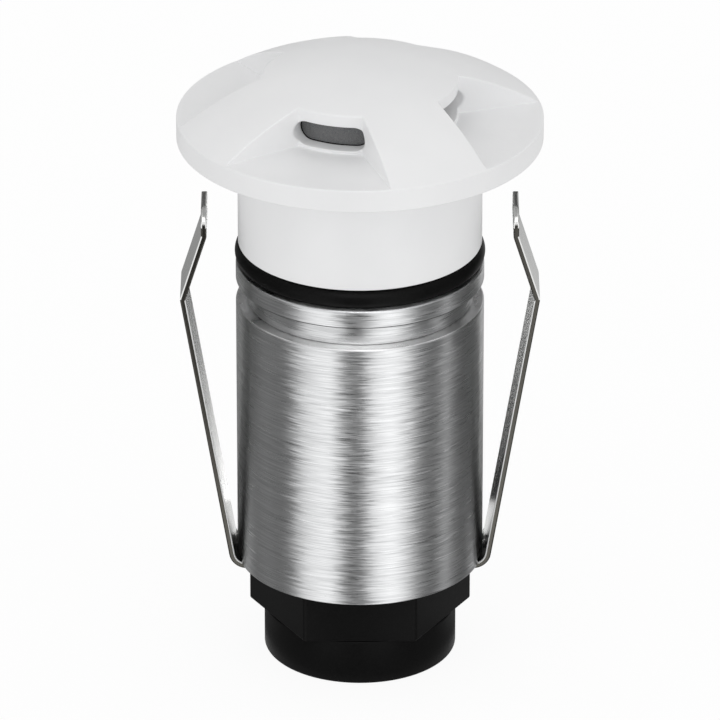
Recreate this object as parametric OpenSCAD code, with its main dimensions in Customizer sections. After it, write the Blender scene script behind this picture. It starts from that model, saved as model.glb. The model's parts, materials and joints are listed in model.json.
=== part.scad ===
/* [Cap] */
// Diameter of the cap across its rim
cap_d = 61.6; // [58:0.2:68]
// Thickness of the rim at its edge
rim_t = 4; // [3:0.1:6]
// Bevel of the rim's two outer edges
rim_edge = 0.3; // [0.2:0.05:0.6]
// Height of the dome above the rim
dome_h = 9.45; // [9.2:0.05:11]
// Metal over the light chamber at the middle of the dome
dome_wall = 3.1; // [2.8:0.1:3.4]
// How far the neck's side stands back from the steel body's side
neck_inset = 0.4; // [0:0.1:1]
// Length of the neck from the seal to the rim
neck_h = 19; // [15:0.5:26]
// Bevel of the lower edges of neck and spigot
neck_edge = 0.25; // [0.1:0.05:0.6]
// Wall of the hollow neck between its screwed spigot's side and the light chamber
spigot_wall = 3.6; // [3:0.1:4.4]
// Length of the screwed spigot
spigot_h = 14.5; // [10:0.5:18]

/* [Windows] */
// Number of windows round the dome
window_count = 4; // [2:1:4]
// Turn of the first window from the +X axis, in degrees
first_window_angle = -18.5; // [-45:0.5:45]
// Thickness of the upright wall that holds the windows
window_wall_t = 2.5; // [2:0.1:3]
// Width of each window across its half round ends
window_w = 12.45; // [9:0.05:12.8]
// Height of each window
window_h = 4.25; // [3:0.05:4.5]
// Height of a window's lower edge above the pocket floor
window_sill = 0.55; // [0.3:0.05:0.7]
// Angle that each pocket spans at the rim, in degrees
pocket_angle = 56.6; // [50:0.2:60]
// Angle between a pocket's flank and the pocket's middle line, in degrees
flank_angle = 37.6; // [34:0.2:42]
// Rounding where a flank meets the window wall
pocket_corner_r = 0.3; // [0.2:0.1:2.2]

/* [Diffuser and reflector] */
// Wall of the frosted diffuser tube
diffuser_t = 2.2; // [1.6:0.1:2.6]
// How far the diffuser reaches below the windows
diffuser_lap = 1.2; // [0.8:0.1:1.4]
// Thickness of the gasket over the diffuser
gasket_t = 0.8; // [0.5:0.1:0.9]
// Width of the gasket
gasket_w = 2.8; // [2:0.1:4]
// Height of the ring that holds the diffuser in the cap
retainer_h = 2; // [1.4:0.1:2.2]
// Thickness of the reflector's plate
reflector_plate_t = 0.9; // [0.6:0.1:1.2]
// Width of the diffuser's ledge that the reflector's plate sits on
reflector_ledge = 0.8; // [0.4:0.1:1]
// Width of the reflector's plate outside its cone
reflector_rim_w = 2.8; // [2:0.1:4]
// Diameter of the reflector cone's blunt tip
reflector_tip_d = 0.8; // [0.4:0.1:2]
// Gap between the reflector's tip and the diodes' height
reflector_tip_gap = 0.6; // [0.3:0.1:1.5]

/* [Steel body] */
// Diameter of the steel body
body_d = 42; // [41.4:0.2:46]
// Length of the steel body
body_h = 55.2; // [48:0.4:80]
// Thickness of the body's floor
body_floor = 5; // [4:0.5:7]
// Bevel of the body's turned edges
body_edge = 0.25; // [0.1:0.05:0.5]
// Height of the groove round the body
groove_h = 3.85; // [2:0.05:6]
// Depth of the groove
groove_depth = 1.9; // [1:0.1:2]
// Land between the groove and the body's top edge
groove_land = 3.3; // [2:0.1:8]

/* [Neck seal] */
// Cord thickness of the rubber ring between body and neck
seal_cord = 3.6; // [3:0.1:3.8]
// How far the ring stands out from the steel body's side
seal_proud = 0.15; // [0:0.05:0.3]
// Gap between the ring and the spigot
seal_gap = 0.05; // [0.05:0.05:0.2]

/* [Spring clip] */
// Thickness of the spring strip
strip_t = 0.95; // [0.6:0.05:1.1]
// Width of the spring strip
strip_w = 11; // [8:0.5:12]
// Radius of the strip's foot bend, to the middle of its thickness
foot_bend_r = 2.6; // [2:0.1:3]
// Radius of the knee and of the bend above it, to the middle of the thickness
knee_bend_r = 1.2; // [0.8:0.1:3]
// Rounding of the free end's two corners
tip_corner_r = 3; // [1:0.1:3.8]
// How far the foot stands out from the body before it turns up
foot_reach = 0.55; // [0.5:0.05:1]
// How far the knee stands out from the body
knee_reach = 8.9; // [7:0.1:11]
// How far the free end stands out from the body
tip_reach = 5.25; // [5:0.05:6]
// Height of the knee above the body's lower end
knee_h = 50; // [42:0.5:52]
// Height of the upper bend above the knee
upper_arm_h = 11.6; // [8:0.2:12]
// Length of the straight free end
tip_h = 4.6; // [4:0.1:6]
// Width of the clip's clamping ring
clip_ring_w = 3.2; // [2:0.1:3.6]

/* [Cable gland] */
// Width across the flats of the gland's hexagon
hex_af = 33; // [31:0.5:36]
// Height of the hexagon
hex_h = 8.35; // [6:0.05:14]
// How far the round gland nut stands back from the hexagon's flats
nut_inset = 0.05; // [0:0.05:0.4]
// Side wall of the gland nut
nut_side = 3.07; // [2.4:0.01:3.4]
// Height of the gland nut
nut_h = 8.1; // [7:0.1:12]
// Thickness of the gland nut's end wall
nut_wall = 1.8; // [1.2:0.1:2.4]
// Bevel of the gland nut's lower edge
nut_edge = 0.35; // [0.1:0.05:1]
// Width of the gland nut's end wall under the bush
nut_lip = 3.5; // [2.5:0.1:5]
// Diameter of the gland's thread in the body floor
gland_thread_d = 25; // [22:0.5:25.5]
// Wall of the gland's threaded collar round the bush
collar_wall = 3.2; // [2.4:0.1:3.6]
// Length of the rubber bush
bush_h = 8; // [6:0.5:10]
// Diameter of the cable hole through the bush
cable_d = 8; // [6:0.5:10]
// Width of the seat over the bush, round the passage through the gland
bush_seat_w = 2; // [1.5:0.1:3]
// Width of the flat seal round the gland's thread
washer_w = 1.3; // [0.8:0.1:1.6]

/* [Light engine] */
// Gap between the heat sink's fins and the cap
fin_gap = 0.5; // [0.3:0.1:1]
// How far the lamp board's edge stays inside the fins' edge
board_inset = 0.9; // [0.3:0.1:1.4]
// Thickness of the lamp board
board_t = 1.6; // [1:0.1:1.8]
// Thickness of the heat pad under the lamp board
pad_t = 0.5; // [0.3:0.1:0.7]
// Side of each light-emitting diode
led_side = 3.5; // [2.8:0.1:4]
// Height of each light-emitting diode
led_h = 0.9; // [0.6:0.1:1]
// Radius of the ring of diodes
led_ring_r = 6.4; // [6:0.1:7]
// Drop from the rim's underside to the heat sink's top
sink_drop = 2; // [1.8:0.1:4]
// Diameter of the heat sink's core
core_d = 17; // [14:0.5:20]
// Number of fins on the heat sink
fin_count = 7; // [3:1:9]
// Thickness of each fin
fin_t = 1.6; // [1:0.1:2]
// Thickness of the heat sink's flange
flange_t = 3; // [2:0.2:5]
// Thickness of the heat sink's top plate
sink_plate_t = 7; // [6:0.2:9]
// Thread diameter of the board screws
screw_d = 2.5; // [2:0.1:3]
// Head diameter of the board screws
screw_head_d = 4.2; // [3.8:0.1:4.4]
// Head height of the board screws
screw_head_h = 0.8; // [0.5:0.1:0.9]
// Width of the slot in each screw head
screw_slot_w = 0.6; // [0.4:0.1:0.8]
// Reach of the board screws into the heat sink
screw_reach = 4.5; // [3:0.5:5.5]
// Distance of the board screws from the lamp board's edge
screw_inset = 2.8; // [2.6:0.1:3]

/* [Driver] */
// Wall of the driver cup
cup_t = 1.2; // [0.8:0.1:1.6]
// Thickness of the driver cup's lid
lid_t = 1.5; // [1:0.1:2.5]
// Thickness of the driver board
pcb_t = 1.6; // [1:0.1:2]
// Diameter of the driver's coil
coil_d = 12; // [9:0.5:13]
// Width of the driver's coil
coil_w = 7.5; // [5:0.5:8]
// Diameter of the hole through the coil
coil_hole_d = 4; // [3:0.5:5]
// Diameter of the driver's capacitor
capacitor_d = 8; // [6:0.5:9]
// Length of the driver's capacitor
capacitor_l = 10; // [8:0.5:10.5]
// Side of the driver's square chips
chip_side = 5; // [4:0.5:6]
// Height of the driver's chips
chip_h = 1.7; // [1.2:0.1:3]
// Diameter of the two lamp leads
lead_d = 1.7; // [1.2:0.1:2]

/* [Fits] */
// Radial gap of the screwed joints
thread_gap = 0.08; // [0.04:0.01:0.1]
// Gap round parts that drop into place
drop_gap = 0.3; // [0.15:0.05:0.4]
// Gap round parts that are pushed into place
push_gap = 0.1; // [0.05:0.01:0.15]
// Seam between the gland nut and the hexagon
nut_seam = 0.1; // [0.05:0.05:0.5]
// Gap round the spring strip in its notch
notch_gap = 0.3; // [0.2:0.05:0.5]

/* [Hidden] */
$fn = 96;
// Overrun of every cut past the face that it opens
cut = 1;

// Heights, from the gland nut's end face up
hex_z = nut_h + nut_seam;
clip_z = hex_z + hex_h;
body_z = clip_z + strip_t;
body_floor_z = body_z + body_floor;
body_top = body_z + body_h;
groove_top = body_top - groove_land;
groove_z = groove_top - groove_h;
neck_z = body_top + seal_cord;
rim_z = neck_z + neck_h;
rim_top = rim_z + rim_t;
dome_top = rim_top + dome_h;
spigot_z = neck_z - spigot_h;

// Radii of the main turned parts
cap_r = cap_d / 2;
body_r = body_d / 2;
neck_r = body_r - neck_inset;
seal_r = body_r + seal_proud - seal_cord / 2;
spigot_r = seal_r - seal_cord / 2 - seal_gap;
body_bore_r = spigot_r + thread_gap;
chamber_r = spigot_r - spigot_wall;
window_wall_r = chamber_r + window_wall_t;
groove_r = body_r - groove_depth;
nut_r = hex_af / 2 - nut_inset;
collar_r = nut_r - nut_side - thread_gap;
bush_r = collar_r - collar_wall - push_gap;
passage_r = bush_r - bush_seat_w;

// The dome is part of a ball that meets the rim's side at the rim's top
dome_r = (cap_r * cap_r + dome_h * dome_h) / (2 * dome_h);
dome_centre = dome_top - dome_r;
function dome_z(r) = dome_centre + sqrt(dome_r * dome_r - r * r);
bevel_top = dome_z(cap_r - rim_edge);

// Heights of the light chamber
chamber_top = dome_top - dome_wall;
window_z = rim_top + window_sill;
diffuser_top = chamber_top - gasket_t;
diffuser_z = window_z - diffuser_lap;
retainer_z = diffuser_z - retainer_h;
reflector_z = diffuser_top - reflector_plate_t;
sink_top = rim_z - sink_drop;
board_z = sink_top + pad_t;
board_top = board_z + board_t;
reflector_tip_z = board_top + led_h + reflector_tip_gap;

// Radii of the light chamber
diffuser_r = chamber_r - push_gap;
diffuser_seat_r = diffuser_r - diffuser_t + reflector_ledge;
fin_r = chamber_r - fin_gap;
board_r = fin_r - board_inset;
screw_ring_r = board_r - screw_inset;
lead_ring_r = lead_d / 2 + push_gap;
channel_r = lead_ring_r + lead_d / 2 + drop_gap;

// Heights and radii of the driver and the heat sink's foot
flange_z = spigot_z - drop_gap - flange_t;
flange_top = flange_z + flange_t;
lid_z = flange_z - lid_t;
cup_floor_z = body_floor_z + cup_t;
cup_r = body_bore_r - drop_gap;
cup_inner_r = cup_r - cup_t;
cup_hole_r = gland_thread_d / 2 + drop_gap;
pcb_h = lid_z - cup_floor_z;
pcb_face = lead_d / 2;
pcb_back = pcb_face + pcb_t;
pcb_half = sqrt(cup_inner_r * cup_inner_r - pcb_back * pcb_back) - drop_gap;

// Places on the driver board, as shares of its half width and of its height
coil_shares = [-0.47, 0.28];
capacitor_shares = [0.5, 0.28];
chip_shares = [[-0.45, 0.7], [0.4, 0.58], [0.4, 0.8]];
lead_start_share = 0.84;
function pcb_place(shares) = [shares[0] * pcb_half, pcb_face, cup_floor_z + shares[1] * pcb_h];

// Directions in a plane
function unit(v) = v / norm(v);
function left_of(v) = [-v[1], v[0]];
function turned(v, a) = [v[0] * cos(a) - v[1] * sin(a), v[0] * sin(a) + v[1] * cos(a)];
function between(u, v) = atan2(cross(unit(u), unit(v)), unit(u) * unit(v));
function reversed(list) = [for (i = [len(list) - 1:-1:0]) list[i]];

// Plan of one pocket, whose middle line is +X: each flank runs in from a point on the rim
rim_corner = cap_r * [cos(pocket_angle / 2), sin(pocket_angle / 2)];
flank_dir = [cos(flank_angle), sin(flank_angle)];
flank_side = [sin(flank_angle), -cos(flank_angle)];

// The point at distance r from the axis on the line through p along the flank
function on_flank(p, r) = p - flank_dir * (p * flank_dir - sqrt(pow(p * flank_dir, 2) - p * p + r * r));

round_centre = on_flank(rim_corner + flank_side * pocket_corner_r, window_wall_r + pocket_corner_r);
round_steps = 6;
round_turn = between(round_centre, flank_side);
round_points = [
  for (i = [0:round_steps])
    round_centre - pocket_corner_r * turned(unit(round_centre), round_turn * i / round_steps)
];

// Middle line of the spring strip on the +X side, as points [out from the axis, up]
washer_r = gland_thread_d / 2 + thread_gap + washer_w;
clip_ring_r = washer_r + push_gap;
foot_start = [clip_ring_r + clip_ring_w / 2, body_z - strip_t / 2];
foot_corner = [body_r + foot_reach, body_z - strip_t / 2];
knee_point = [body_r + knee_reach, body_z + knee_h];
upper_point = [body_r + tip_reach, knee_point[1] + upper_arm_h];
tip_point = [upper_point[0], upper_point[1] + tip_h];

function bend_start(a, b, c, r) = b - unit(b - a) * r * tan(abs(between(b - a, c - b)) / 2);

// Points round the bend at b, of radius r on the path, all shifted to the left by off
function bend_points(a, b, c, r, off, steps = 8) =
  let (
    turn = between(b - a, c - b),
    to_centre = left_of(unit(b - a)) * sign(turn),
    centre = bend_start(a, b, c, r) + to_centre * r
  )
  [for (i = [0:steps]) centre - turned(to_centre * (r - sign(turn) * off), turn * i / steps)];

// The foot bend ends and the arm begins where the strip turns straight
foot_bend_x = bend_start(foot_start, foot_corner, knee_point, foot_bend_r)[0];
split_point = bend_start(knee_point, foot_corner, foot_start, foot_bend_r);
arm_side = left_of(unit(knee_point - foot_corner));

function foot_edge(off) = concat(
  [foot_start + [0, off]],
  bend_points(foot_start, foot_corner, knee_point, foot_bend_r, off)
);
function arm_edge(off) = concat(
  [split_point + arm_side * off],
  bend_points(split_point, knee_point, upper_point, knee_bend_r, off),
  bend_points(knee_point, upper_point, tip_point, knee_bend_r, off),
  [tip_point - [off, 0]]
);
function strip_outline(left, right) = concat(left, reversed(right));

// The notch in the body's lower edge clears the rise of the foot bend up to the body's side
foot_inner_r = foot_bend_r - strip_t / 2;
bend_run = min(body_r - foot_bend_x, foot_inner_r);
notch_h = foot_inner_r - sqrt(foot_inner_r * foot_inner_r - bend_run * bend_run) + notch_gap;

// Places of the repeated small parts
window_angles = [for (i = [0:window_count - 1]) first_window_angle + i * 360 / window_count];
screw_angles = [for (i = [0:1]) first_window_angle + 180 / window_count + i * 180];
fin_space = (sink_top - sink_plate_t - flange_top - fin_count * fin_t) / (fin_count + 1);

module ring(inner_r, outer_r, z, h) {
  translate([0, 0, z]) difference() {
    cylinder(r = outer_r, h = h);
    translate([0, 0, -cut]) cylinder(r = inner_r, h = h + 2 * cut);
  }
}

module at_each(angles) {
  for (a = angles) rotate([0, 0, a]) children();
}

module pocket_plan() {
  far_point = rim_corner + flank_dir * cap_r;
  polygon_side = concat(round_points, [far_point]);
  difference() {
    polygon(concat([[0, 0]], polygon_side, reversed([for (p = polygon_side) [p[0], -p[1]]])));
    circle(r = window_wall_r);
  }
}

// A window is a straight slot along its pocket's middle line, begun inside the light chamber
module window_cut() {
  end_y = (window_w - window_h) / 2;
  translate([chamber_r / 2, -end_y, window_z]) cube([cap_r - chamber_r / 2, 2 * end_y, window_h]);
  for (side = [-1, 1]) translate([chamber_r / 2, side * end_y, window_z + window_h / 2])
    rotate([0, 90, 0]) cylinder(d = window_h, h = cap_r - chamber_r / 2);
}

module cap_outline() {
  difference() {
    union() {
      intersection() {
        translate([0, dome_centre]) circle(r = dome_r);
        translate([0, bevel_top]) square([cap_r, dome_h]);
      }
      polygon([
        [0, spigot_z],
        [spigot_r - neck_edge, spigot_z],
        [spigot_r, spigot_z + neck_edge],
        [spigot_r, neck_z],
        [neck_r - neck_edge, neck_z],
        [neck_r, neck_z + neck_edge],
        [neck_r, rim_z],
        [cap_r - rim_edge, rim_z],
        [cap_r, rim_z + rim_edge],
        [cap_r, rim_top - rim_edge],
        [cap_r - rim_edge, bevel_top],
        [0, bevel_top]
      ]);
    }
    translate([0, spigot_z - cut]) square([chamber_r, chamber_top - spigot_z + cut]);
  }
}

module cap() {
  color("whitesmoke") difference() {
    rotate_extrude() cap_outline();
    at_each(window_angles) {
      translate([0, 0, rim_top]) linear_extrude(height = dome_h + cut) pocket_plan();
      window_cut();
    }
  }
}

module neck_seal() {
  color("black") translate([0, 0, body_top + seal_cord / 2]) rotate_extrude()
    translate([seal_r, 0]) circle(d = seal_cord);
}

module diffuser() {
  color("lightgray") difference() {
    ring(diffuser_r - diffuser_t, diffuser_r, diffuser_z, diffuser_top - diffuser_z);
    translate([0, 0, reflector_z]) cylinder(r = diffuser_seat_r, h = reflector_plate_t + cut);
  }
}

module diffuser_gasket() {
  color("dimgray") ring(diffuser_r - gasket_w, diffuser_r, diffuser_top, gasket_t);
}

module diffuser_retainer() {
  color("darkgray") ring(diffuser_r - diffuser_t, chamber_r - thread_gap, retainer_z, retainer_h);
}

// The cone's side is hollowed, so that light from below leaves level
module reflector() {
  steps = 12;
  hollow_power = 1.6;
  cone_h = reflector_z - reflector_tip_z;
  plate_r = diffuser_seat_r - push_gap;
  cone_run = plate_r - reflector_rim_w - reflector_tip_d / 2;
  color("gainsboro") rotate_extrude() polygon(concat(
    [[0, reflector_tip_z]],
    [
      for (i = [0:steps])
        [
          reflector_tip_d / 2 + cone_run * pow(i / steps, hollow_power),
          reflector_tip_z + cone_h * i / steps
        ]
    ],
    [[plate_r, reflector_z], [plate_r, diffuser_top], [0, diffuser_top]]
  ));
}

module steel_body() {
  color("silver") difference() {
    rotate_extrude() polygon([
      [0, body_z],
      [body_r - body_edge, body_z],
      [body_r, body_z + body_edge],
      [body_r, groove_z - body_edge],
      [body_r - body_edge, groove_z],
      [groove_r, groove_z],
      [groove_r, groove_top],
      [body_r, groove_top],
      [body_r, body_top - body_edge],
      [body_r - body_edge, body_top],
      [0, body_top]
    ]);
    translate([0, 0, body_floor_z]) cylinder(r = body_bore_r, h = body_h);
    translate([0, 0, body_z - cut]) cylinder(d = gland_thread_d + 2 * thread_gap, h = body_floor + 2 * cut);
    for (side = [0, 1]) mirror([side, 0, 0])
      translate([foot_bend_x - notch_gap, -strip_w / 2 - notch_gap, body_z - cut])
        cube([body_r, strip_w + 2 * notch_gap, notch_h + cut]);
  }
}

module strip(outline) {
  rotate([90, 0, 0]) linear_extrude(height = strip_w, center = true) polygon(outline);
}

module spring_clip_base() {
  color("lightslategray") difference() {
    union() {
      translate([0, 0, clip_z]) cylinder(r = clip_ring_r + clip_ring_w, h = strip_t);
      for (side = [0, 1]) mirror([side, 0, 0])
        strip(strip_outline(foot_edge(strip_t / 2), foot_edge(-strip_t / 2)));
    }
    translate([0, 0, clip_z - cut]) cylinder(r = clip_ring_r, h = strip_t + 2 * cut);
  }
}

module spring_arm() {
  color("lightslategray") difference() {
    strip(strip_outline(arm_edge(strip_t / 2), arm_edge(-strip_t / 2)));
    for (side = [0, 1]) mirror([0, side, 0])
      translate([tip_point[0] - strip_t, strip_w / 2 - tip_corner_r, tip_point[1] - tip_corner_r])
        tip_corner_cut();
  }
}

module tip_corner_cut() {
  difference() {
    cube([2 * strip_t, tip_corner_r + cut, tip_corner_r + cut]);
    translate([-cut, 0, 0]) rotate([0, 90, 0]) cylinder(r = tip_corner_r, h = 2 * strip_t + 2 * cut);
  }
}

module left_spring_arm() {
  mirror([1, 0, 0]) spring_arm();
}

module right_spring_arm() {
  spring_arm();
}

module gland_body() {
  seat_top = nut_wall + nut_seam + bush_h;
  thread_top = cup_floor_z - drop_gap;
  color([0.1, 0.1, 0.1]) difference() {
    union() {
      translate([0, 0, hex_z]) cylinder(d = hex_af / cos(30), h = hex_h, $fn = 6);
      translate([0, 0, 2 * nut_wall]) cylinder(r = collar_r, h = hex_z - 2 * nut_wall + cut);
      translate([0, 0, clip_z - cut]) cylinder(d = gland_thread_d, h = thread_top - clip_z + cut);
    }
    translate([0, 0, nut_wall]) cylinder(r = bush_r + push_gap, h = seat_top - nut_wall);
    cylinder(r = passage_r, h = thread_top + cut);
  }
}

module gland_washer() {
  color("black") ring(gland_thread_d / 2 + thread_gap, washer_r, clip_z, strip_t);
}

module gland_bush() {
  color([0.16, 0.16, 0.16]) ring(cable_d / 2, bush_r, nut_wall + nut_seam, bush_h);
}

module gland_nut() {
  color([0.08, 0.08, 0.08]) difference() {
    rotate_extrude() polygon([
      [0, 0],
      [nut_r - nut_edge, 0],
      [nut_r, nut_edge],
      [nut_r, nut_h],
      [0, nut_h]
    ]);
    translate([0, 0, nut_wall]) cylinder(r = collar_r + thread_gap, h = nut_h);
    translate([0, 0, -cut]) cylinder(r = bush_r - nut_lip, h = nut_wall + 2 * cut);
  }
}

module heat_sink() {
  color("lightgray") difference() {
    union() {
      translate([0, 0, flange_z]) cylinder(r = cup_r, h = flange_t);
      translate([0, 0, flange_z]) cylinder(d = core_d, h = sink_top - flange_z);
      for (i = [0:fin_count - 1])
        translate([0, 0, flange_top + fin_space * (i + 1) + fin_t * i]) cylinder(r = fin_r, h = fin_t);
      translate([0, 0, sink_top - sink_plate_t]) cylinder(r = fin_r, h = sink_plate_t);
    }
    translate([0, 0, flange_z - cut]) cylinder(r = channel_r, h = sink_top - flange_z + 2 * cut);
    screw_holes(sink_top - screw_reach - cut, screw_reach + 2 * cut);
  }
}

module screw_holes(z, h) {
  at_each(screw_angles) translate([screw_ring_r, 0, z]) cylinder(d = screw_d + 2 * thread_gap, h = h);
}

module heat_pad() {
  color("slategray") difference() {
    ring(channel_r, board_r, sink_top, pad_t);
    screw_holes(sink_top - cut, pad_t + 2 * cut);
  }
}

module lamp_board() {
  color("white") difference() {
    translate([0, 0, board_z]) cylinder(r = board_r, h = board_t);
    screw_holes(board_z - cut, board_t + 2 * cut);
    lead_pair(board_z - cut, board_t + 2 * cut);
  }
}

module lamp_diodes() {
  color("gold") at_each(window_angles) translate([led_ring_r - led_side / 2, -led_side / 2, board_top])
    cube([led_side, led_side, led_h]);
}

module board_screws() {
  color("silver") at_each(screw_angles) translate([screw_ring_r, 0, 0]) difference() {
    union() {
      translate([0, 0, sink_top - screw_reach])
        cylinder(d = screw_d, h = board_top - sink_top + screw_reach);
      translate([0, 0, board_top]) cylinder(d = screw_head_d, h = screw_head_h);
    }
    translate([-screw_head_d, -screw_slot_w / 2, board_top + screw_head_h / 2])
      cube([2 * screw_head_d, screw_slot_w, screw_head_h]);
  }
}

module lamp_leads() {
  start_z = pcb_place([0, lead_start_share])[2];
  color("firebrick") lead_pair(start_z, board_top - start_z);
}

module lead_pair(z, h) {
  for (side = [-1, 1]) translate([side * lead_ring_r, 0, z]) cylinder(d = lead_d, h = h);
}

module driver_cup() {
  color("ivory") difference() {
    translate([0, 0, body_floor_z]) cylinder(r = cup_r, h = lid_z - body_floor_z);
    translate([0, 0, cup_floor_z]) cylinder(r = cup_inner_r, h = lid_z - cup_floor_z + cut);
    translate([0, 0, body_floor_z - cut]) cylinder(r = cup_hole_r, h = cup_t + 2 * cut);
  }
}

module driver_lid() {
  color("ivory") ring(channel_r, cup_r, lid_z, lid_t);
}

module driver_board() {
  color("darkgreen") translate([-pcb_half, pcb_face, cup_floor_z])
    cube([2 * pcb_half, pcb_t, pcb_h]);
}

module driver_coil() {
  color("peru") translate(pcb_place(coil_shares)) rotate([90, 0, 0])
    ring(coil_hole_d / 2, coil_d / 2, 0, coil_w);
}

module driver_capacitor() {
  color("midnightblue") translate(pcb_place(capacitor_shares)) rotate([90, 0, 0])
    cylinder(d = capacitor_d, h = capacitor_l);
}

module driver_chips() {
  color([0.15, 0.15, 0.15]) for (shares = chip_shares)
    translate(pcb_place(shares) - [chip_side / 2, chip_h, chip_side / 2])
      cube([chip_side, chip_h, chip_side]);
}

cap();
neck_seal();
diffuser();
diffuser_gasket();
diffuser_retainer();
reflector();
steel_body();
spring_clip_base();
left_spring_arm();
right_spring_arm();
gland_body();
gland_washer();
gland_bush();
gland_nut();
heat_sink();
heat_pad();
lamp_board();
lamp_diodes();
board_screws();
lamp_leads();
driver_cup();
driver_lid();
driver_board();
driver_coil();
driver_capacitor();
driver_chips();
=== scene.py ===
"""Looks of the in-ground well light: cap, seal, steel body, spring clip, cable gland and what is inside."""

import json
import math

import bpy
from mathutils import Matrix, Vector
from mathutils.geometry import delaunay_2d_cdt

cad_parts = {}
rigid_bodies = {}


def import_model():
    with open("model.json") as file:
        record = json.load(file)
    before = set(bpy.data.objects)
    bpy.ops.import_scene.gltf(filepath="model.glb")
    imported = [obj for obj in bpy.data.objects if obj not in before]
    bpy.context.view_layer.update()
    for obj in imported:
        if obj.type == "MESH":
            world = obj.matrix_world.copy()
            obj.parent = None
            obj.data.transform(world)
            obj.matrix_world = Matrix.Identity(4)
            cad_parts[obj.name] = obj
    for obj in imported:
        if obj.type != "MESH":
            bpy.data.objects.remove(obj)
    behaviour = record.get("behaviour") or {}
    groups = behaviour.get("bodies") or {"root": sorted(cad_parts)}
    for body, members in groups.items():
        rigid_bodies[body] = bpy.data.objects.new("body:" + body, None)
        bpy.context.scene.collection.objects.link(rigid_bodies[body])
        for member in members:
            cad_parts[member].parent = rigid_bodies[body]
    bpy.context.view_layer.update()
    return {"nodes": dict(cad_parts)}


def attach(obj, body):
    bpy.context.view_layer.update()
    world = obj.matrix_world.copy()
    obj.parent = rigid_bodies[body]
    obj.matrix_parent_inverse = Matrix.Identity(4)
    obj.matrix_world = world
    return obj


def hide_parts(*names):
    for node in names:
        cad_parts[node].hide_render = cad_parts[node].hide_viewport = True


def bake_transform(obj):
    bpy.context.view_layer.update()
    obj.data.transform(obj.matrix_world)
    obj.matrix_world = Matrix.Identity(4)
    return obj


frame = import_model()
nodes = frame["nodes"]

# Sizes in millimetres, heights from the gland nut's end face
MM = 0.001
WELD = 0.0001
CAP_R = 30.8
RIM_EDGE = 0.3
RIM_Z, RIM_TOP, DOME_TOP = 95.3, 99.3, 108.75
NECK_R, NECK_Z = 20.6, 76.3
SPIGOT_R, SPIGOT_Z, THREAD_DEPTH = 17.5, 61.8, 0.55
CHAMBER_R, CHAMBER_TOP = 13.9, 105.65
WALL_R, FLANK_ANGLE, POCKET_ANGLE, POCKET_CORNER_R = 16.4, 37.6, 56.6, 0.3
WINDOW_TURNS = [-108.5, -18.5, 71.5, 161.5]
WINDOW_W, WINDOW_H, WINDOW_Z = 12.45, 4.25, 99.85
TOP_ROUND, FLOOR_ROUND, WINDOW_ROUND = 0.3, 0.2, 0.22
BODY_R, BODY_Z, BODY_TOP, BODY_FLOOR_Z, BORE_R = 21.0, 17.5, 72.7, 22.5, 17.58
GROOVE_R, GROOVE_Z, GROOVE_TOP = 19.1, 65.55, 69.4
STRIP_T, STRIP_W, STRIP_EDGE, TIP_CORNER_R = 0.95, 11.0, 0.25, 3.0
STRIP_CORNERS = [(15.58, 17.025), (21.55, 17.025), (29.9, 67.5), (26.25, 79.1), (26.25, 83.7)]
STRIP_BENDS = [0, 2.6, 1.2, 1.2, 0]
HEX_AF, HEX_Z, HEX_TOP = 33.0, 8.2, 16.55
NUT_R, NUT_H, NUT_WALL, NUT_HOLE_R = 16.45, 8.1, 1.8, 6.5
NECK_THREAD_R, NECK_THREAD_TOP, FLOOR_HOLE_R = 12.5, 23.4, 12.58
COLLAR_R, COLLAR_Z, BUSH_R, PASSAGE_R, SEAT_TOP, CABLE_R = 13.3, 3.6, 10.0, 8.0, 9.95, 4.0
CLIP_Z, CLIP_RING_R, CLIP_RING_W = 16.55, 13.98, 3.2
NOTCH_X, NOTCH_W, NOTCH_H = 19.05, 11.6, 1.09
SEAL_OUTER_R = 21.15
SINK_R, SINK_Z, SINK_CORE_R, CHANNEL_R, PLATE_Z, PLATE_TOP = 17.28, 58.5, 8.5, 2.1, 86.3, 93.3
FIN_R, FIN_T, FIN_SPACE, SINK_FINS_Z = 13.4, 1.6, 1.7, 63.2
DIODE_W, DIODE_H, DIODE_PLACE_R, BOARD_TOP = 3.5, 0.9, 6.4, 95.4
COIL_X, COIL_Z, COIL_R, COIL_HOLE_R, COIL_BACK, COIL_FRONT = -7.33, 33.0, 6.0, 2.0, 0.85, 6.65
COVER_R, COVER_OUTER_R, COVER_LIP_R, COVER_Z, COVER_LIP_Z, COVER_TOP = 11.6, 13.8, 12.3, 98.65, 103.95, 104.85
RETAINER_R, RETAINER_OUTER_R, RETAINER_Z = 11.4, 13.85, 96.65
BUSH_Z, BUSH_TOP, BEAD_R = 1.9, 9.9, 0.13
THREAD_Z, THREAD_PITCH, THREAD_TURNS = 63.0, 1.5, 7.5
WIRE_T, WIRE_PITCH, WIRE_TURNS, WIRE_Z = 0.76, 0.78, 6.0, 1.4
PROFILE_TURN = 90
HEX_CORNER_R, HEX_INSET, CHAMBER_BEVEL, WALL_FOOT = 0.9, 1.2, 0.6, 1.5
UP, DOWN = (0, 0, 1), (0, 0, -1)

# Places in the dome's skin: number of rings, and spaces between places, off the rim, the window walls and the flanks
DOME_RINGS, DOME_SPACE, RIM_SPACE, WALL_SPACE, FLANK_SPACE = 22, 1.4, 1.0, 1.0, 1.3

# Heights between which the painted highlight on the sleeve's ledge ends, in metres
LEDGE_HIGHLIGHT_END = (0.0712, 0.0715)

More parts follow.
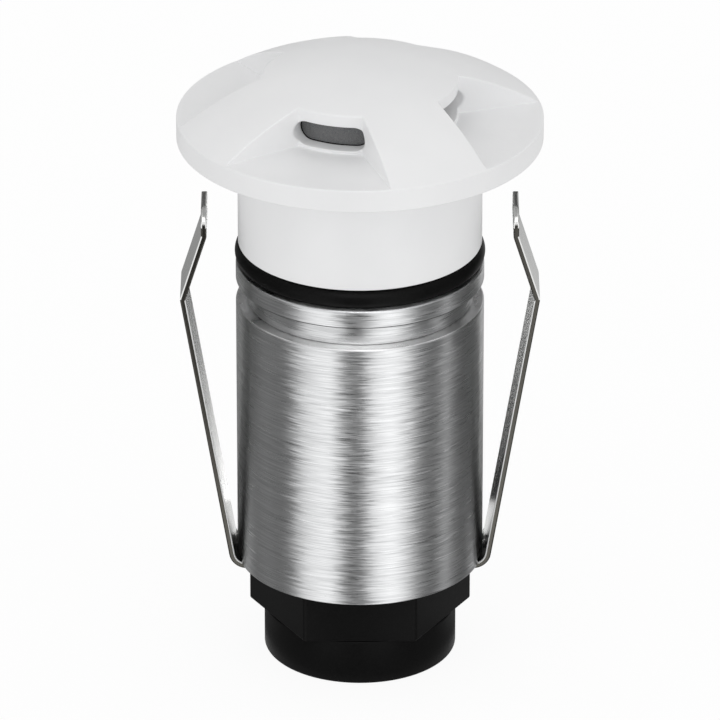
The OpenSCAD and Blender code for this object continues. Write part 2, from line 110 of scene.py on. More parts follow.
# The studio, in metres
FLOOR_WHITE, WORLD_LEVEL, DIM_CARD, CANOPY = 0.91, 0.8, 0.25, 3.0
CARD_Z, CARD_NEAR, CARD_FAR, CARD_TOP = 0.0008, 0.006, 0.84, 0.8
ROOM_R, ROOM_SECTORS = 0.9, 96
CANOPY_R, CANOPY_INNER_R, CANOPY_Z, CANOPY_TOP = 0.8, 0.2, 0.4, 0.95
LAMP_TARGET, CAMERA_PLACE, CAMERA_TARGET = (0, 0, 0.06), (0, -1.2288, 0.6492), (0, 0, 0.0536)

# Levels of the cards that the sleeve shows, by the turn round it from its front
GLEAM = [
    (-90, 0.25), (-84, 0.35), (-77, 0.24), (-69, 0.45), (-64.5, 0.6), (-60, 0.15), (-50, 0.3), (-38, 0.17),
    (-33.5, 0.35), (-28, 1.4), (-15, 1.72), (-12.6, 1.4), (-8.2, 0.32), (-4.2, 0.03), (0.2, 0.12), (5.8, 1.35),
    (14, 1.9), (19.5, 1.65), (27.5, 0.38), (34, 0.09), (38.5, 0.2), (42, 0.85), (47, 0.25), (56, 0.1),
    (61, 0.2), (65, 0.7), (69.5, 0.5), (77, 0.85), (84, 0.3), (90, 0.15),
]

# Cards straight behind the sleeve, which the inner faces of the two arms show, one near for their feet and two
# farther on: left end, right end, near end, far end and level
BEHIND = [
    (-0.0205, 0.0205, 0.012, 0.055, 0.9),
    (-0.0205, -0.009, 0.055, CARD_FAR, 2.1),
    (-0.009, 0.0205, 0.055, CARD_FAR, 0.02),
]


# Vectors in a plane
def plan(angle):
    return Vector((math.cos(math.radians(angle)), math.sin(math.radians(angle))))


def cross(u, v):
    return u[0] * v[1] - u[1] * v[0]


def steps(first, last, count):
    return [first + (last - first) * i / count for i in range(count + 1)]


def curve_through(a, k, b, t):
    """Point on the curve that leaves a towards k and reaches b from k."""
    return a * (1 - t) ** 2 + k * 2 * t * (1 - t) + b * t * t


def swung(v, t):
    """A vector in the plane, turned by t radians."""
    return Vector((v[0] * math.cos(t) - v[1] * math.sin(t), v[0] * math.sin(t) + v[1] * math.cos(t)))


def on_spoke(p, spoke):
    """A place or normal of an outline, (distance out, height), set on a spoke of the light's axis."""
    return p[0] * spoke[0], p[0] * spoke[1], p[1]


def round_turns(count=192):
    return [360 * i / count for i in range(count)]


# Meshes
class Shell:
    """Faces of one closed skin, joined where their points meet, with a normal at each corner."""

    def __init__(self):
        self.points, self.places, self.faces, self.normals = [], {}, [], []

    def point(self, p):
        """Number of the point at a place. Places closer than the weld distance are one point."""
        near = [{round(c - WELD, 3), round(c + WELD, 3)} for c in p]
        keys = [(x, y, z) for x in near[0] for y in near[1] for z in near[2]]
        for key in keys:
            if key in self.places:
                return self.places[key]
        for key in keys:
            self.places[key] = len(self.points)
        self.points.append(Vector(p))
        return self.places[keys[0]]

    def face(self, *corners):
        """Each corner is (place, normal). The face is turned to the side that its normals show."""
        ids, normals = [], []
        for p, n in corners:
            i = self.point(p)
            if i not in ids:
                ids.append(i)
                normals.append(Vector(n))
        if len(ids) < 3:
            return
        first = self.points[ids[0]]
        spread = [self.points[i] - first for i in ids[1:]]
        facing = sum((u.cross(v) for u, v in zip(spread, spread[1:])), Vector())
        if facing.dot(sum(normals, Vector())) < 0:
            ids.reverse()
            normals.reverse()
        self.faces.append(ids)
        self.normals += normals

    def sheet(self, rows):
        """Quads between rows of corners."""
        for low, high in zip(rows, rows[1:]):
            for i in range(len(low) - 1):
                self.face(low[i], low[i + 1], high[i + 1], high[i])

    def piece(self, name, material):
        mesh = bpy.data.meshes.new(name)
        mesh.from_pydata([p * MM for p in self.points], [], self.faces)
        mesh.polygons.foreach_set("use_smooth", [True] * len(mesh.polygons))
        mesh.normals_split_custom_set([n.normalized() for n in self.normals])
        return as_piece(name, mesh, material)


def linked(name, data):
    """A new object in the scene."""
    made = bpy.data.objects.new(name, data)
    bpy.context.scene.collection.objects.link(made)
    return made


def as_piece(name, mesh, material):
    mesh.materials.clear()
    mesh.materials.append(material)
    return linked(name, mesh)


def rounded_path(corners, closed, arc_steps=5):
    """Outline with its corners rounded. Each corner is (x, z, radius).

    Returns stretches (p, n, q, m) with normals to the right.
    """
    spots = [Vector(corner[:2]) for corner in corners]
    runs = []
    for i, (here, (_, _, radius)) in enumerate(zip(spots, corners)):
        into = (here - spots[i - 1]).normalized() if closed or i > 0 else None
        out = (spots[(i + 1) % len(spots)] - here).normalized() if closed or i < len(spots) - 1 else None
        if into is None or out is None or radius == 0:
            runs.append([(here, into, out)])
            continue
        turn = math.atan2(cross(into, out), into.dot(out))
        side = Vector((-into[1], into[0])) * (1 if turn > 0 else -1)
        start = here - into * radius * math.tan(abs(turn) / 2)
        centre = start + side * radius
        arc = []
        for t in steps(0, turn, arc_steps):
            direction = swung(into, t)
            arc.append((centre - swung(side, t) * radius, direction, direction))
        runs.append(arc)
    stations = [s for run in runs for s in run]
    pairs = list(zip(stations, stations[1:])) + ([(stations[-1], stations[0])] if closed else [])
    stretches = []
    for (p, _, out), (q, into, _) in pairs:
        if (q - p).length > 1e-6:
            stretches.append((p, Vector((out[1], -out[0])), q, Vector((into[1], -into[0]))))
    return stretches


def swept(shell, stretches, stops, corner):
    """Faces of an outline's stretches between each stop and the next one round."""
    for p, n, q, m in stretches:
        for a, b in zip(stops, stops[1:] + stops[:1]):
            shell.face(corner(p, n, a), corner(p, n, b), corner(q, m, b), corner(q, m, a))


def turned(shell, stretches, angles):
    """Turns an outline round the light's axis."""
    def corner(p, n, angle):
        spoke = plan(angle)
        return on_spoke(p, spoke), on_spoke(n, spoke)

    swept(shell, stretches, angles, corner)


def turned_piece(name, corners, material, arc_steps=5, count=192):
    shell = Shell()
    turned(shell, rounded_path(corners, True, arc_steps), round_turns(count))
    return shell.piece(name, material)


def plain_section(inner, outer, low, high, radius):
    """Outline of a ring of square section with rounded edges."""
    return [(inner, low, radius), (outer, low, radius), (outer, high, radius), (inner, high, radius)]


def lofted(shell, ring, stretches):
    """Carries a profile round a ring of (place, normal) in plan.

    The profile's first number is its distance out from the ring.
    """
    def corner(p, n, stop):
        spot, out = stop
        at = spot + out * p[0]
        return (at[0], at[1], p[1]), (out[0] * n[0], out[1] * n[0], n[1])

    swept(shell, stretches, ring, corner)


def by_angle(places, height):
    """Closed ring of (angle, place) at a height, in the order of its angles."""
    ring = [(math.degrees(math.atan2(y, x)), (x, y, height)) for x, y in places]
    return sorted(ring)


def joined_rings(shell, inner, outer, normal):
    """Flat faces between two closed rings of (angle, place), seen from the normal's side."""
    def stop(ring, i):
        """Angle and corner of the ring's place number i, counted on into a second turn."""
        angle, place = ring[i % len(ring)]
        return angle + 360 * (i // len(ring)), (place, normal)

    i = j = 0
    while i < len(inner) or j < len(outer):
        here, there = stop(inner, i)[1], stop(outer, j)[1]
        next_inner, next_outer = stop(inner, i + 1), stop(outer, j + 1)
        if j >= len(outer) or (i < len(inner) and next_inner[0] <= next_outer[0]):
            i += 1
            shell.face(here, there, next_inner[1])
        else:
            j += 1
            shell.face(here, there, next_outer[1])


# The cap
EDGE_R = CAP_R - RIM_EDGE
BALL_R = (EDGE_R ** 2 + (DOME_TOP - RIM_TOP) ** 2) / (2 * (DOME_TOP - RIM_TOP))
BALL_Z = DOME_TOP - BALL_R
CORE_R = SPIGOT_R - THREAD_DEPTH


def dome_height(x, y):
    return BALL_Z + math.sqrt(BALL_R ** 2 - x * x - y * y)


def dome_normal(x, y):
    return Vector((x, y, dome_height(x, y) - BALL_Z)).normalized()


class Pocket:
    """Half of a pocket's edge in plan, from its middle line out to the rim, as a path of places and normals."""

    def __init__(self):
        corner = CAP_R * plan(POCKET_ANGLE / 2)
        self.along = plan(FLANK_ANGLE)
        self.side = Vector((self.along[1], -self.along[0]))
        self.corner = corner
        self.centre = self.on_flank(corner + self.side * POCKET_CORNER_R, WALL_R + POCKET_CORNER_R)
        self.round_end = self.centre - self.side * POCKET_CORNER_R
        self.rim = self.on_flank(corner, EDGE_R)
        self.wall_turn = math.atan2(self.centre[1], self.centre[0])
        spoke = -self.centre.normalized()
        self.round_turn = math.atan2(cross(spoke, -self.side), spoke.dot(-self.side))
        self.lengths = [
            WALL_R * self.wall_turn, POCKET_CORNER_R * abs(self.round_turn), (self.rim - self.round_end).length,
        ]
        self.end_y = (WINDOW_W - WINDOW_H) / 2
        self.straight = self.beyond_end(0)

    def on_flank(self, p, r):
        reach = p.dot(self.along)
        return p - self.along * (reach - math.sqrt(reach ** 2 - p.dot(p) + r * r))

    def at(self, s):
        wall, bend, _ = self.lengths
        if s <= wall:
            spoke = Vector((math.cos(s / WALL_R), math.sin(s / WALL_R)))
            return spoke * WALL_R, spoke
        if s <= wall + bend:
            spoke = swung(-self.centre.normalized(), (s - wall) / bend * self.round_turn)
            return self.centre + spoke * POCKET_CORNER_R, -spoke
        return self.round_end + self.along * (s - wall - bend), self.side

    def covers(self, spot, turn):
        """Whether a place in plan is in the pocket at this turn, or close to it."""
        x = spot.dot(plan(turn))
        y = abs(cross(plan(turn), spot))
        edge_y = self.corner[1] + (x - self.corner[0]) * math.tan(math.radians(FLANK_ANGLE))
        return spot.length > WALL_R - WALL_SPACE and x > 0 and y < edge_y + FLANK_SPACE

    def beyond_end(self, d):
        """Distance along the path where it is d beyond the middle of the window's round end."""
        low, high = 0, sum(self.lengths)
        for _ in range(50):
            middle = (low + high) / 2
            if self.at(middle)[0][1] - self.end_y < d:
                low = middle
            else:
                high = middle
        return low

    def stations(self):
        """Distances along the path at which the skin has a column."""
        wall, bend, flank = self.lengths
        outer = WINDOW_H / 2 + WINDOW_ROUND
        places = steps(0, self.straight, 8)
        places += [self.beyond_end(outer * math.sin(math.radians(a))) for a in steps(0, 90, 12)[1:]]
        places += steps(wall, wall + bend, 6)
        last = max(places)
        places += steps(last, wall + bend + flank, 16)[1:]
        places.sort()
        return [s for i, s in enumerate(places) if i == 0 or s - places[i - 1] > 0.01]


def cap_column(pocket, s):
    """Corners of the cap's skin up one column of a pocket's wall.

    They are the floor's round, the wall, the window's edge, the wall again and the top's round.
    """
    p, n = pocket.at(s)
    n3 = Vector((n[0], n[1], 0))
    room = 0.4 * max(dome_height(*p) - RIM_TOP, 0)
    low_round, top_round = min(FLOOR_ROUND, room), min(TOP_ROUND, room)
    floor_rows = []
    for t in steps(90, 0, 4):
        level, rise = math.cos(math.radians(t)), math.sin(math.radians(t))
        q = p + n * low_round * (1 - level)
        floor_rows.append(((q[0], q[1], RIM_TOP + low_round * (1 - rise)), n3 * level + Vector((0, 0, rise))))
    back = p - n * top_round
    z_back = dome_height(*back)
    slope = -back.dot(n) / (z_back - BALL_Z)
    knee = Vector((p[0], p[1], z_back + slope * top_round))
    foot = knee - Vector((0, 0, top_round))
    crest = Vector((back[0], back[1], z_back))
    ball = dome_normal(*back)
    top_rows = [(curve_through(foot, knee, crest, t), n3 * (1 - t) + ball * t) for t in steps(0, 1, 4)]

    # The window's edge: wall side, round and the way in to the light chamber
    middle = WINDOW_Z + WINDOW_H / 2
    outer, inner = WINDOW_H / 2 + WINDOW_ROUND, WINDOW_H / 2
    inward = Vector((-1, 0))
    beyond = p[1] - pocket.end_y
    window = None
    if beyond < outer + 1e-3:
        turn = math.pi / 2 if beyond > outer - 1e-3 else math.asin(max(beyond, 0) / outer)
        edge = p if beyond <= 0 else pocket.at(pocket.beyond_end(inner * math.sin(turn)))[0]
        h_out, h_in = outer * math.cos(turn), inner * math.cos(turn)
        start = edge + inward * WINDOW_ROUND
        reach = start.dot(inward)
        end = start + inward * (-reach - math.sqrt(max(reach ** 2 - start.dot(start) + CHAMBER_R ** 2, 0)))
        window = {}
        for name, sign in (("low", -1), ("high", 1)):
            skin_normal = Vector((0, -math.sin(turn), -sign * math.cos(turn)))
            a = Vector((p[0], p[1], middle + sign * h_out))
            k = Vector((edge[0], edge[1], middle + sign * h_in))
            b = Vector((start[0], start[1], middle + sign * h_in))
            rows = [(curve_through(a, k, b, t), n3 * (1 - t) + skin_normal * t) for t in steps(0, 1, 4)]
            rows.append(((end[0], end[1], middle + sign * h_in), skin_normal))
            window[name] = rows
        wall_low, wall_high = middle - h_out, middle + h_out
    else:
        centre = min(middle, (floor_rows[-1][0][2] + foot[2]) / 2)
        wall_low = wall_high = centre
    lower = floor_rows + [((p[0], p[1], wall_low), n3)]
    upper = [((p[0], p[1], wall_high), n3)] + top_rows
    return {"lower": lower, "upper": upper, "window": window, "crest": crest, "toe": floor_rows[0][0]}


def placed(corner, turn, flip):
    """A column's corner turned to its pocket, and mirrored for the pocket's other half."""
    p, n = corner
    sign = -1 if flip else 1
    c, s = math.cos(math.radians(turn)), math.sin(math.radians(turn))

    def move(v):
        x, y = v[0], v[1] * sign
        return Vector((x * c - y * s, x * s + y * c, v[2]))

    return move(p), move(n)


def filled_plan(shell, loop, inside, height, normal):
    """Triangles inside a loop in plan, through the given inner places, set to a height."""
    points = loop + inside
    ring = list(range(len(loop)))
    found, _, faces, origins, _, _ = delaunay_2d_cdt([Vector(p) for p in points], [], [ring], 1, 1e-6)
    exact = [points[o[0]] if o else (v[0], v[1]) for v, o in zip(found, origins)]
    for f in faces:
        corners = [exact[i] for i in f]
        if cross(Vector(corners[1]) - Vector(corners[0]), Vector(corners[2]) - Vector(corners[0])) < 0:
            corners.reverse()
        shell.face(*[((x, y, height(x, y)), normal(x, y)) for x, y in corners])


def cap_piece(material):
    shell = Shell()
    pocket = Pocket()
    columns = [cap_column(pocket, s) for s in pocket.stations()]
    windows = [column["window"] for column in columns if column["window"]]
    rim_angle = math.degrees(math.atan2(pocket.rim[1], pocket.rim[0]))
    dome_loop, chamber_ring, rim_ring = [], [], []
    for turn in WINDOW_TURNS:
        for flip in (True, False):
            for rows, parts in ((columns, ("lower", "upper")), (windows, ("low", "high"))):
                for part in parts:
                    shell.sheet([[placed(c, turn, flip) for c in row[part]] for row in rows])
    # Plan loops of dome and pocket floors
    for turn in WINDOW_TURNS:
        crest, toe = [
            [placed((c[edge], UP), turn, True)[0] for c in reversed(columns)]
            + [placed((c[edge], UP), turn, False)[0] for c in columns[1:]]
            for edge in ("crest", "toe")
        ]
        floor_arc = steps(turn + rim_angle, turn - rim_angle, 28)
        floor_loop = [(p[0], p[1]) for p in toe] + [tuple(EDGE_R * plan(a)) for a in floor_arc[1:-1]]
        filled_plan(shell, floor_loop, [], lambda x, y: RIM_TOP, lambda x, y: UP)
        dome_loop += [(p[0], p[1]) for p in crest]
        rib_arc = steps(turn + rim_angle, turn + 90 - rim_angle, 18)
        dome_loop += [tuple(EDGE_R * plan(a)) for a in rib_arc[1:-1]]
        rim_ring += [(a, "floor") for a in reversed(floor_arc[1:-1])]
        rim_ring += [(turn + rim_angle, "both")] + [(a, "dome") for a in rib_arc[1:-1]] + [(rib_arc[-1], "both")]
    inner = []
    for radius in steps(0, EDGE_R - RIM_SPACE, DOME_RINGS):
        count = max(1, round(2 * math.pi * radius / DOME_SPACE))
        for i in range(count):
            spot = radius * plan(360 * (i + 0.5 * (round(radius) % 2)) / count)
            if not any(pocket.covers(spot, turn) for turn in WINDOW_TURNS):
                inner.append(tuple(spot))
    filled_plan(shell, dome_loop, inner, dome_height, dome_normal)

    # The rim's round, then the turned outside down to the spigot's end
    slope = EDGE_R / (dome_height(EDGE_R, 0) - BALL_Z)
    rim_ring.sort()
    rows = []
    for t in steps(0, 1, 5):
        row = []
        for angle, kind in rim_ring:
            drop = {"floor": 0, "both": 0.5, "dome": 1}[kind] * slope * RIM_EDGE
            corners = (EDGE_R, RIM_TOP), (CAP_R, RIM_TOP - drop), (CAP_R, RIM_TOP - RIM_EDGE)
            p = curve_through(*[Vector(c) for c in corners], t)
            normal = Vector((drop / RIM_EDGE * (1 - t) + t, 1 - t))
            row.append((on_spoke(p, plan(angle)), on_spoke(normal, plan(angle))))
        rows.append(row + row[:1])
    shell.sheet(rows)
    angles = [a for a, _ in rim_ring]
    foot_r, foot_z = CHAMBER_R + CHAMBER_BEVEL, SPIGOT_Z + CHAMBER_BEVEL
    outline = [
        (foot_r, SPIGOT_Z, 0),
        (CORE_R, SPIGOT_Z, 0.5),
        (CORE_R, NECK_Z, 0.15),
        (NECK_R, NECK_Z, 0.25),
        (NECK_R, RIM_Z, 0.35),
        (CAP_R, RIM_Z, RIM_EDGE),
        (CAP_R, RIM_TOP - RIM_EDGE, 0),
    ]
    turned(shell, rounded_path(outline, False), angles)

    # The light chamber: its wall with the four window openings, its ceiling and its lower edge
    middle = WINDOW_Z + WINDOW_H / 2
    for turn in WINDOW_TURNS:
        for flip in (True, False):
            for w in (reversed(windows) if flip else windows[1:]):
                low, high = placed(w["low"][-1], turn, flip)[0], placed(w["high"][-1], turn, flip)[0]
                angle = math.degrees(math.atan2(low[1], low[0]))
                chamber_ring.append(((angle - turn + 180) % 360 - 180 + turn, low[2], high[2], (low[0], low[1])))
        last = chamber_ring[-1][0]
        for a in steps(last, turn + 90 - (last - turn), 9)[1:-1]:
            chamber_ring.append((a, middle, middle, tuple(CHAMBER_R * plan(a))))
    chamber_ring.sort()
    turns, lows, highs, places = zip(*chamber_ring, chamber_ring[0])

    def wall_row(heights):
        return [((x, y, z), (-x, -y, 0)) for (x, y), z in zip(places, heights)]

    def level_row(height):
        return wall_row([height] * len(places))

    shell.sheet([level_row(foot_z), level_row(WINDOW_Z - WALL_FOOT), wall_row(lows)])
    shell.sheet([wall_row(highs), level_row(CHAMBER_TOP)])
    for here, there in zip(places, places[1:]):
        shell.face(*[((*spot, CHAMBER_TOP), DOWN) for spot in (here, (0, 0), there)])
    foot = [(x * foot_r / CHAMBER_R, y * foot_r / CHAMBER_R, SPIGOT_Z) for x, y in places]
    leans = [(-x, -y, -CHAMBER_R) for x, y in places]
    shell.sheet([list(zip(foot, leans)), [((*spot, foot_z), lean) for spot, lean in zip(places, leans)]])
    outer_ring = [(a, (*(foot_r * plan(a)), SPIGOT_Z)) for a in angles]
    inner_ring = list(zip(turns[:-1], foot))
    while inner_ring[0][0] < outer_ring[0][0] - 3:
        angle, spot = inner_ring.pop(0)
        inner_ring.append((angle + 360, spot))
    joined_rings(shell, inner_ring, outer_ring, DOWN)
    return shell.piece("cap_shell", material)


# Other meshes
def corner_ring(corners, arc_steps):
    """Closed ring of (place, normal) in plan, with rounded corners."""
    return [(p, n) for p, n, _, _ in rounded_path(corners, True, arc_steps)]


def gland_piece(material):
    """Hexagon with the threaded neck above it, the collar under it and the cable's way through."""
    shell = Shell()
    corner_r = HEX_AF / 2 / math.cos(math.radians(30))
    ring = corner_ring([(*(corner_r * plan(60 * i)), HEX_CORNER_R) for i in range(6)], 6)
    profile = [(-HEX_INSET, HEX_Z, 0), (0, HEX_Z, 0.3), (0, HEX_TOP, 0.35), (-HEX_INSET, HEX_TOP, 0)]
    lofted(shell, ring, rounded_path(profile, False))
    inner = [p - n * HEX_INSET for p, n in ring]
    for radius, height, normal in ((NECK_THREAD_R, HEX_TOP, UP), (COLLAR_R, HEX_Z, DOWN)):
        circle = [radius * plan(a) for a in round_turns()]
        joined_rings(shell, by_angle(circle, height), by_angle(inner, height), normal)
    outline = [
        (NECK_THREAD_R, HEX_TOP, 0),
        (NECK_THREAD_R, NECK_THREAD_TOP, 0.6),
        (PASSAGE_R, NECK_THREAD_TOP, 0.3),
        (PASSAGE_R, SEAT_TOP, 0.2),
        (BUSH_R + 0.05, SEAT_TOP, 0),
        (BUSH_R + 0.05, COLLAR_Z, 0.3),
        (COLLAR_R, COLLAR_Z, 0.6),
        (COLLAR_R, HEX_Z, 0),
    ]
    turned(shell, [(q, -m, p, -n) for p, n, q, m in rounded_path(outline, False)], round_turns())
    return shell.piece("gland_shell", material)


def strip_stations():
    """Places along the strip's middle line, with the way it runs and its upper side's normal."""
    corners = [(x, z, r) for (x, z), r in zip(STRIP_CORNERS, STRIP_BENDS)]
    stations = []
    for p, n, q, m in rounded_path(corners, False, 10):
        length = (q - p).length
        parts = max(1, round(length / 2.0))
        for t in steps(0, 1, parts)[:-1]:
            stations.append((p * (1 - t) + q * t, (n * (1 - t) + m * t).normalized()))
    stations.append((q, m))
    return stations


def strip_piece(name, side, material):
    """One arm of the spring clip: a flat strip bent along its path, its edges and its free end's corners rounded."""
    shell = Shell()
    path = strip_stations()
    lengths = [0]
    for (p, _), (q, _) in zip(path, path[1:]):
        lengths.append(lengths[-1] + (q - p).length)
    total = lengths[-1]

    def at(s):
        i = max(k for k in range(len(lengths) - 1) if lengths[k] <= s + 1e-9)
        t = (s - lengths[i]) / (lengths[i + 1] - lengths[i])
        (p, n), (q, m) = path[i], path[i + 1]
        return p * (1 - t) + q * t, (n * (1 - t) + m * t).normalized()

    tip = [total - TIP_CORNER_R * (1 - math.sin(math.radians(a))) for a in steps(0, 90, 14)]
    last = [total - STRIP_EDGE * (1 - math.sin(math.radians(a))) for a in steps(0, 90, 4)]
    marks = sorted({round(s, 5) for s in [s for s in lengths if s < tip[0] - 0.01] + tip + last})
    rows = []
    for s in marks:
        place, out = at(min(s, total))
        along = Vector((-out[1], out[0]))
        over = max(0, s - (total - TIP_CORNER_R)) / TIP_CORNER_R
        left = math.sqrt(max(0, 1 - over * over))
        half = STRIP_W / 2 - TIP_CORNER_R * (1 - left)
        end = max(0, s - (total - STRIP_EDGE)) / STRIP_EDGE
        cut = STRIP_EDGE * (1 - math.sqrt(max(0, 1 - end * end)))
        width, thick = half - STRIP_EDGE, STRIP_T / 2 - STRIP_EDGE
        row = []
        for wide, high, first in ((1, 1, 0), (-1, 1, 90), (-1, -1, 180), (1, -1, 270)):
            for angle in steps(first, first + 90, 4):
                u = plan(angle)
                reach = STRIP_EDGE - cut
                w, t = wide * width + reach * u[0], high * thick + reach * u[1]
                spot = place + out * t
                normal = out * u[1] + along * (over * abs(u[0]) + end * 2)
                row.append(((side * spot[0], w, spot[1]), (side * normal[0], u[0] * left, normal[1])))
        rows.append(row + row[:1])
    shell.sheet(rows)
    for row, s, sign in ((rows[0], 0, -1), (rows[-1], total, 1)):
        out = at(s)[1]
        normal = (-side * out[1] * sign, 0, out[0] * sign)
        shell.face(*[(p, normal) for p, _ in row[:-1]])
    return shell.piece(name, material)


def evaluated_mesh(piece):
    bpy.context.view_layer.update()
    return bpy.data.meshes.new_from_object(piece.evaluated_get(bpy.context.evaluated_depsgraph_get()))


def smooth(mesh, crease):
    """Smooth shading, except over edges that bend by more than the crease, in degrees."""
    mesh.polygons.foreach_set("use_smooth", [True] * len(mesh.polygons))
    mesh.set_sharp_from_angle(angle=math.radians(crease))


def notched_body(material):
    """The steel sleeve, turned with rounded edges, with the clip's two notches cut in its lower edge."""
    outline = [
        (BODY_R, BODY_Z, 0.25),
        (BODY_R, GROOVE_Z, 0.34),
        (GROOVE_R, GROOVE_Z, 0),
        (GROOVE_R - 0.2, GROOVE_Z, 0),
        (GROOVE_R, GROOVE_Z + 0.22, 0),
        (GROOVE_R, GROOVE_TOP, 0.12),
        (BODY_R - 0.32, GROOVE_TOP, 0.04),
        (BODY_R, GROOVE_TOP + 0.32, 0.04),
        (BODY_R, BODY_TOP, 0.4),
        (BORE_R, BODY_TOP, 0.15),
        (BORE_R, BODY_FLOOR_Z, 0.5),
        (FLOOR_HOLE_R, BODY_FLOOR_Z, 0.2),
        (FLOOR_HOLE_R, BODY_Z, 0.2),
    ]
    body = turned_piece("sleeve_blank", outline, material, 5, 256)
    cutter = Shell()
    for side in (-1, 1):
        low, high, half = side * NOTCH_X, side * (BODY_R + 2), NOTCH_W / 2
        corners = ((low, -half), (high, -half), (high, half), (low, half))
        box = [[(x, y, z) for x, y in corners] for z in (BODY_Z - 1, BODY_Z + NOTCH_H)]
        middle = Vector(((low + high) / 2, 0, BODY_Z + (NOTCH_H - 1) / 2))
        for i in range(4):
            quad = [box[0][i], box[0][(i + 1) % 4], box[1][(i + 1) % 4], box[1][i]]
            out = sum((Vector(c) for c in quad), Vector()) / 4 - middle
            cutter.face(*[(c, out) for c in quad])
        for row, z in ((box[0], -1), (box[1], 1)):
            cutter.face(*[(c, (0, 0, z)) for c in row])
    tool = cutter.piece("notch_cutter", material)
    cut = body.modifiers.new("notches", "BOOLEAN")
    cut.object = tool
    cut.solver = "EXACT"
    mesh = evaluated_mesh(body)
    bpy.data.objects.remove(tool)
    bpy.data.objects.remove(body)
    smooth(mesh, 32)
    sleeve = as_piece("steel_sleeve", mesh, material)
    even = sleeve.modifiers.new("even_shading", "WEIGHTED_NORMAL")
    even.keep_sharp = True
    even.weight = 100
    done = evaluated_mesh(sleeve)
    bpy.data.objects.remove(sleeve)
    return as_piece("steel_sleeve", done, material)


def block_piece(name, width, height, corner_r, edge_r, material):
    """Upright square block with rounded corners and edges."""
    shell = Shell()
    half, inset = width / 2, edge_r * 1.5
    ring = corner_ring([(x * half, y * half, corner_r) for x, y in ((1, -1), (1, 1), (-1, 1), (-1, -1))], 4)
    profile = [(-edge_r, 0, 0), (0, 0, edge_r / 2), (0, height, edge_r), (-inset, height, 0)]
    lofted(shell, ring, rounded_path(profile, False, 3))
    for within, z, normal in ((edge_r, 0, DOWN), (inset, height, UP)):
        shell.face(*[((*(p - n * within), z), normal) for p, n in ring])
    return shell.piece(name, material)


# Trees of nodes
class NodeTree:
    """A tree that is made one node at a time."""

    def __init__(self, tree):
        self.tree = tree

    def node(self, kind, inputs=None, **settings):
        """Outputs of a new node. Each input is a plain value or another node's output."""
        made = self.tree.nodes.new(kind)
        for key, value in settings.items():
            setattr(made, key, value)
        for key, value in (inputs or {}).items():
            self.feed(made.inputs[key], value)
        return made.outputs

    def feed(self, socket, value):
        if isinstance(value, bpy.types.NodeSocket):
            self.tree.links.new(value, socket)
        else:
            socket.default_value = value

    def number(self, how, *given):
        """What one or two numbers come to."""
        return self.node("ShaderNodeMath", dict(enumerate(given)), operation=how)[0]

    def parts(self, vector):
        return self.node("ShaderNodeSeparateXYZ", {"Vector": vector})


class Recipe(NodeTree):
    """A tree of geometry nodes with named inputs, and how a piece is made with it."""

    def __init__(self, name, *sizes, **others):
        super().__init__(bpy.data.node_groups.new(name, "GeometryNodeTree"))
        self.ids = {}
        for label, kind in {**dict.fromkeys(sizes, "Float"), **others, "Material": "Material"}.items():
            socket = self.tree.interface.new_socket(label, in_out="INPUT", socket_type="NodeSocket" + kind)
            self.ids[label] = socket.identifier
        self.tree.interface.new_socket("Piece", in_out="OUTPUT", socket_type="NodeSocketGeometry")
        self.given = self.tree.nodes.new("NodeGroupInput").outputs

    def shape(self, kind, inputs=None, **settings):
        """First output of a new geometry node."""
        return self.node(kind, inputs, **settings)[0]

    def vector(self, **parts):
        return self.node("ShaderNodeCombineXYZ", parts)[0]

    def rounded(self, curve, radius, count=3, limit=True):
        """A curve with its corners rounded."""
        inputs = {"Curve": curve, "Count": count, "Radius": radius, "Limit Radius": limit}
        return self.shape("GeometryNodeFilletCurve", inputs, mode="POLY")

    def equal_turns(self):
        """Turn of each copy, with all of them equally far apart."""
        share = self.number("DIVIDE", self.shape("GeometryNodeInputIndex"), self.given["Count"])
        return self.number("MULTIPLY", share, 2 * math.pi)

    def close(self, geometry, **move):
        """Ends the tree: the geometry moved, its instances made real, and the material set."""
        if move:
            geometry = self.shape("GeometryNodeTransform", {"Geometry": geometry, **move})
        real = self.shape("GeometryNodeRealizeInstances", {"Geometry": geometry})
        painted = self.shape("GeometryNodeSetMaterial", {"Geometry": real, "Material": self.given["Material"]})
        self.node("NodeGroupOutput", {"Piece": painted})

    def bake(self, name, values, material, crease=35):
        """Plain mesh made by the tree with these sizes."""
        holder = linked(name + "_seed", bpy.data.meshes.new(name + "_seed"))
        modifier = holder.modifiers.new(name, "NODES")
        modifier.node_group = self.tree
        for label, value in {**values, "Material": material}.items():
            modifier[self.ids[label]] = value
        mesh = evaluated_mesh(holder)
        bpy.data.objects.remove(holder)
        mesh.name = name
        smooth(mesh, crease)
        return as_piece(name, mesh, material)


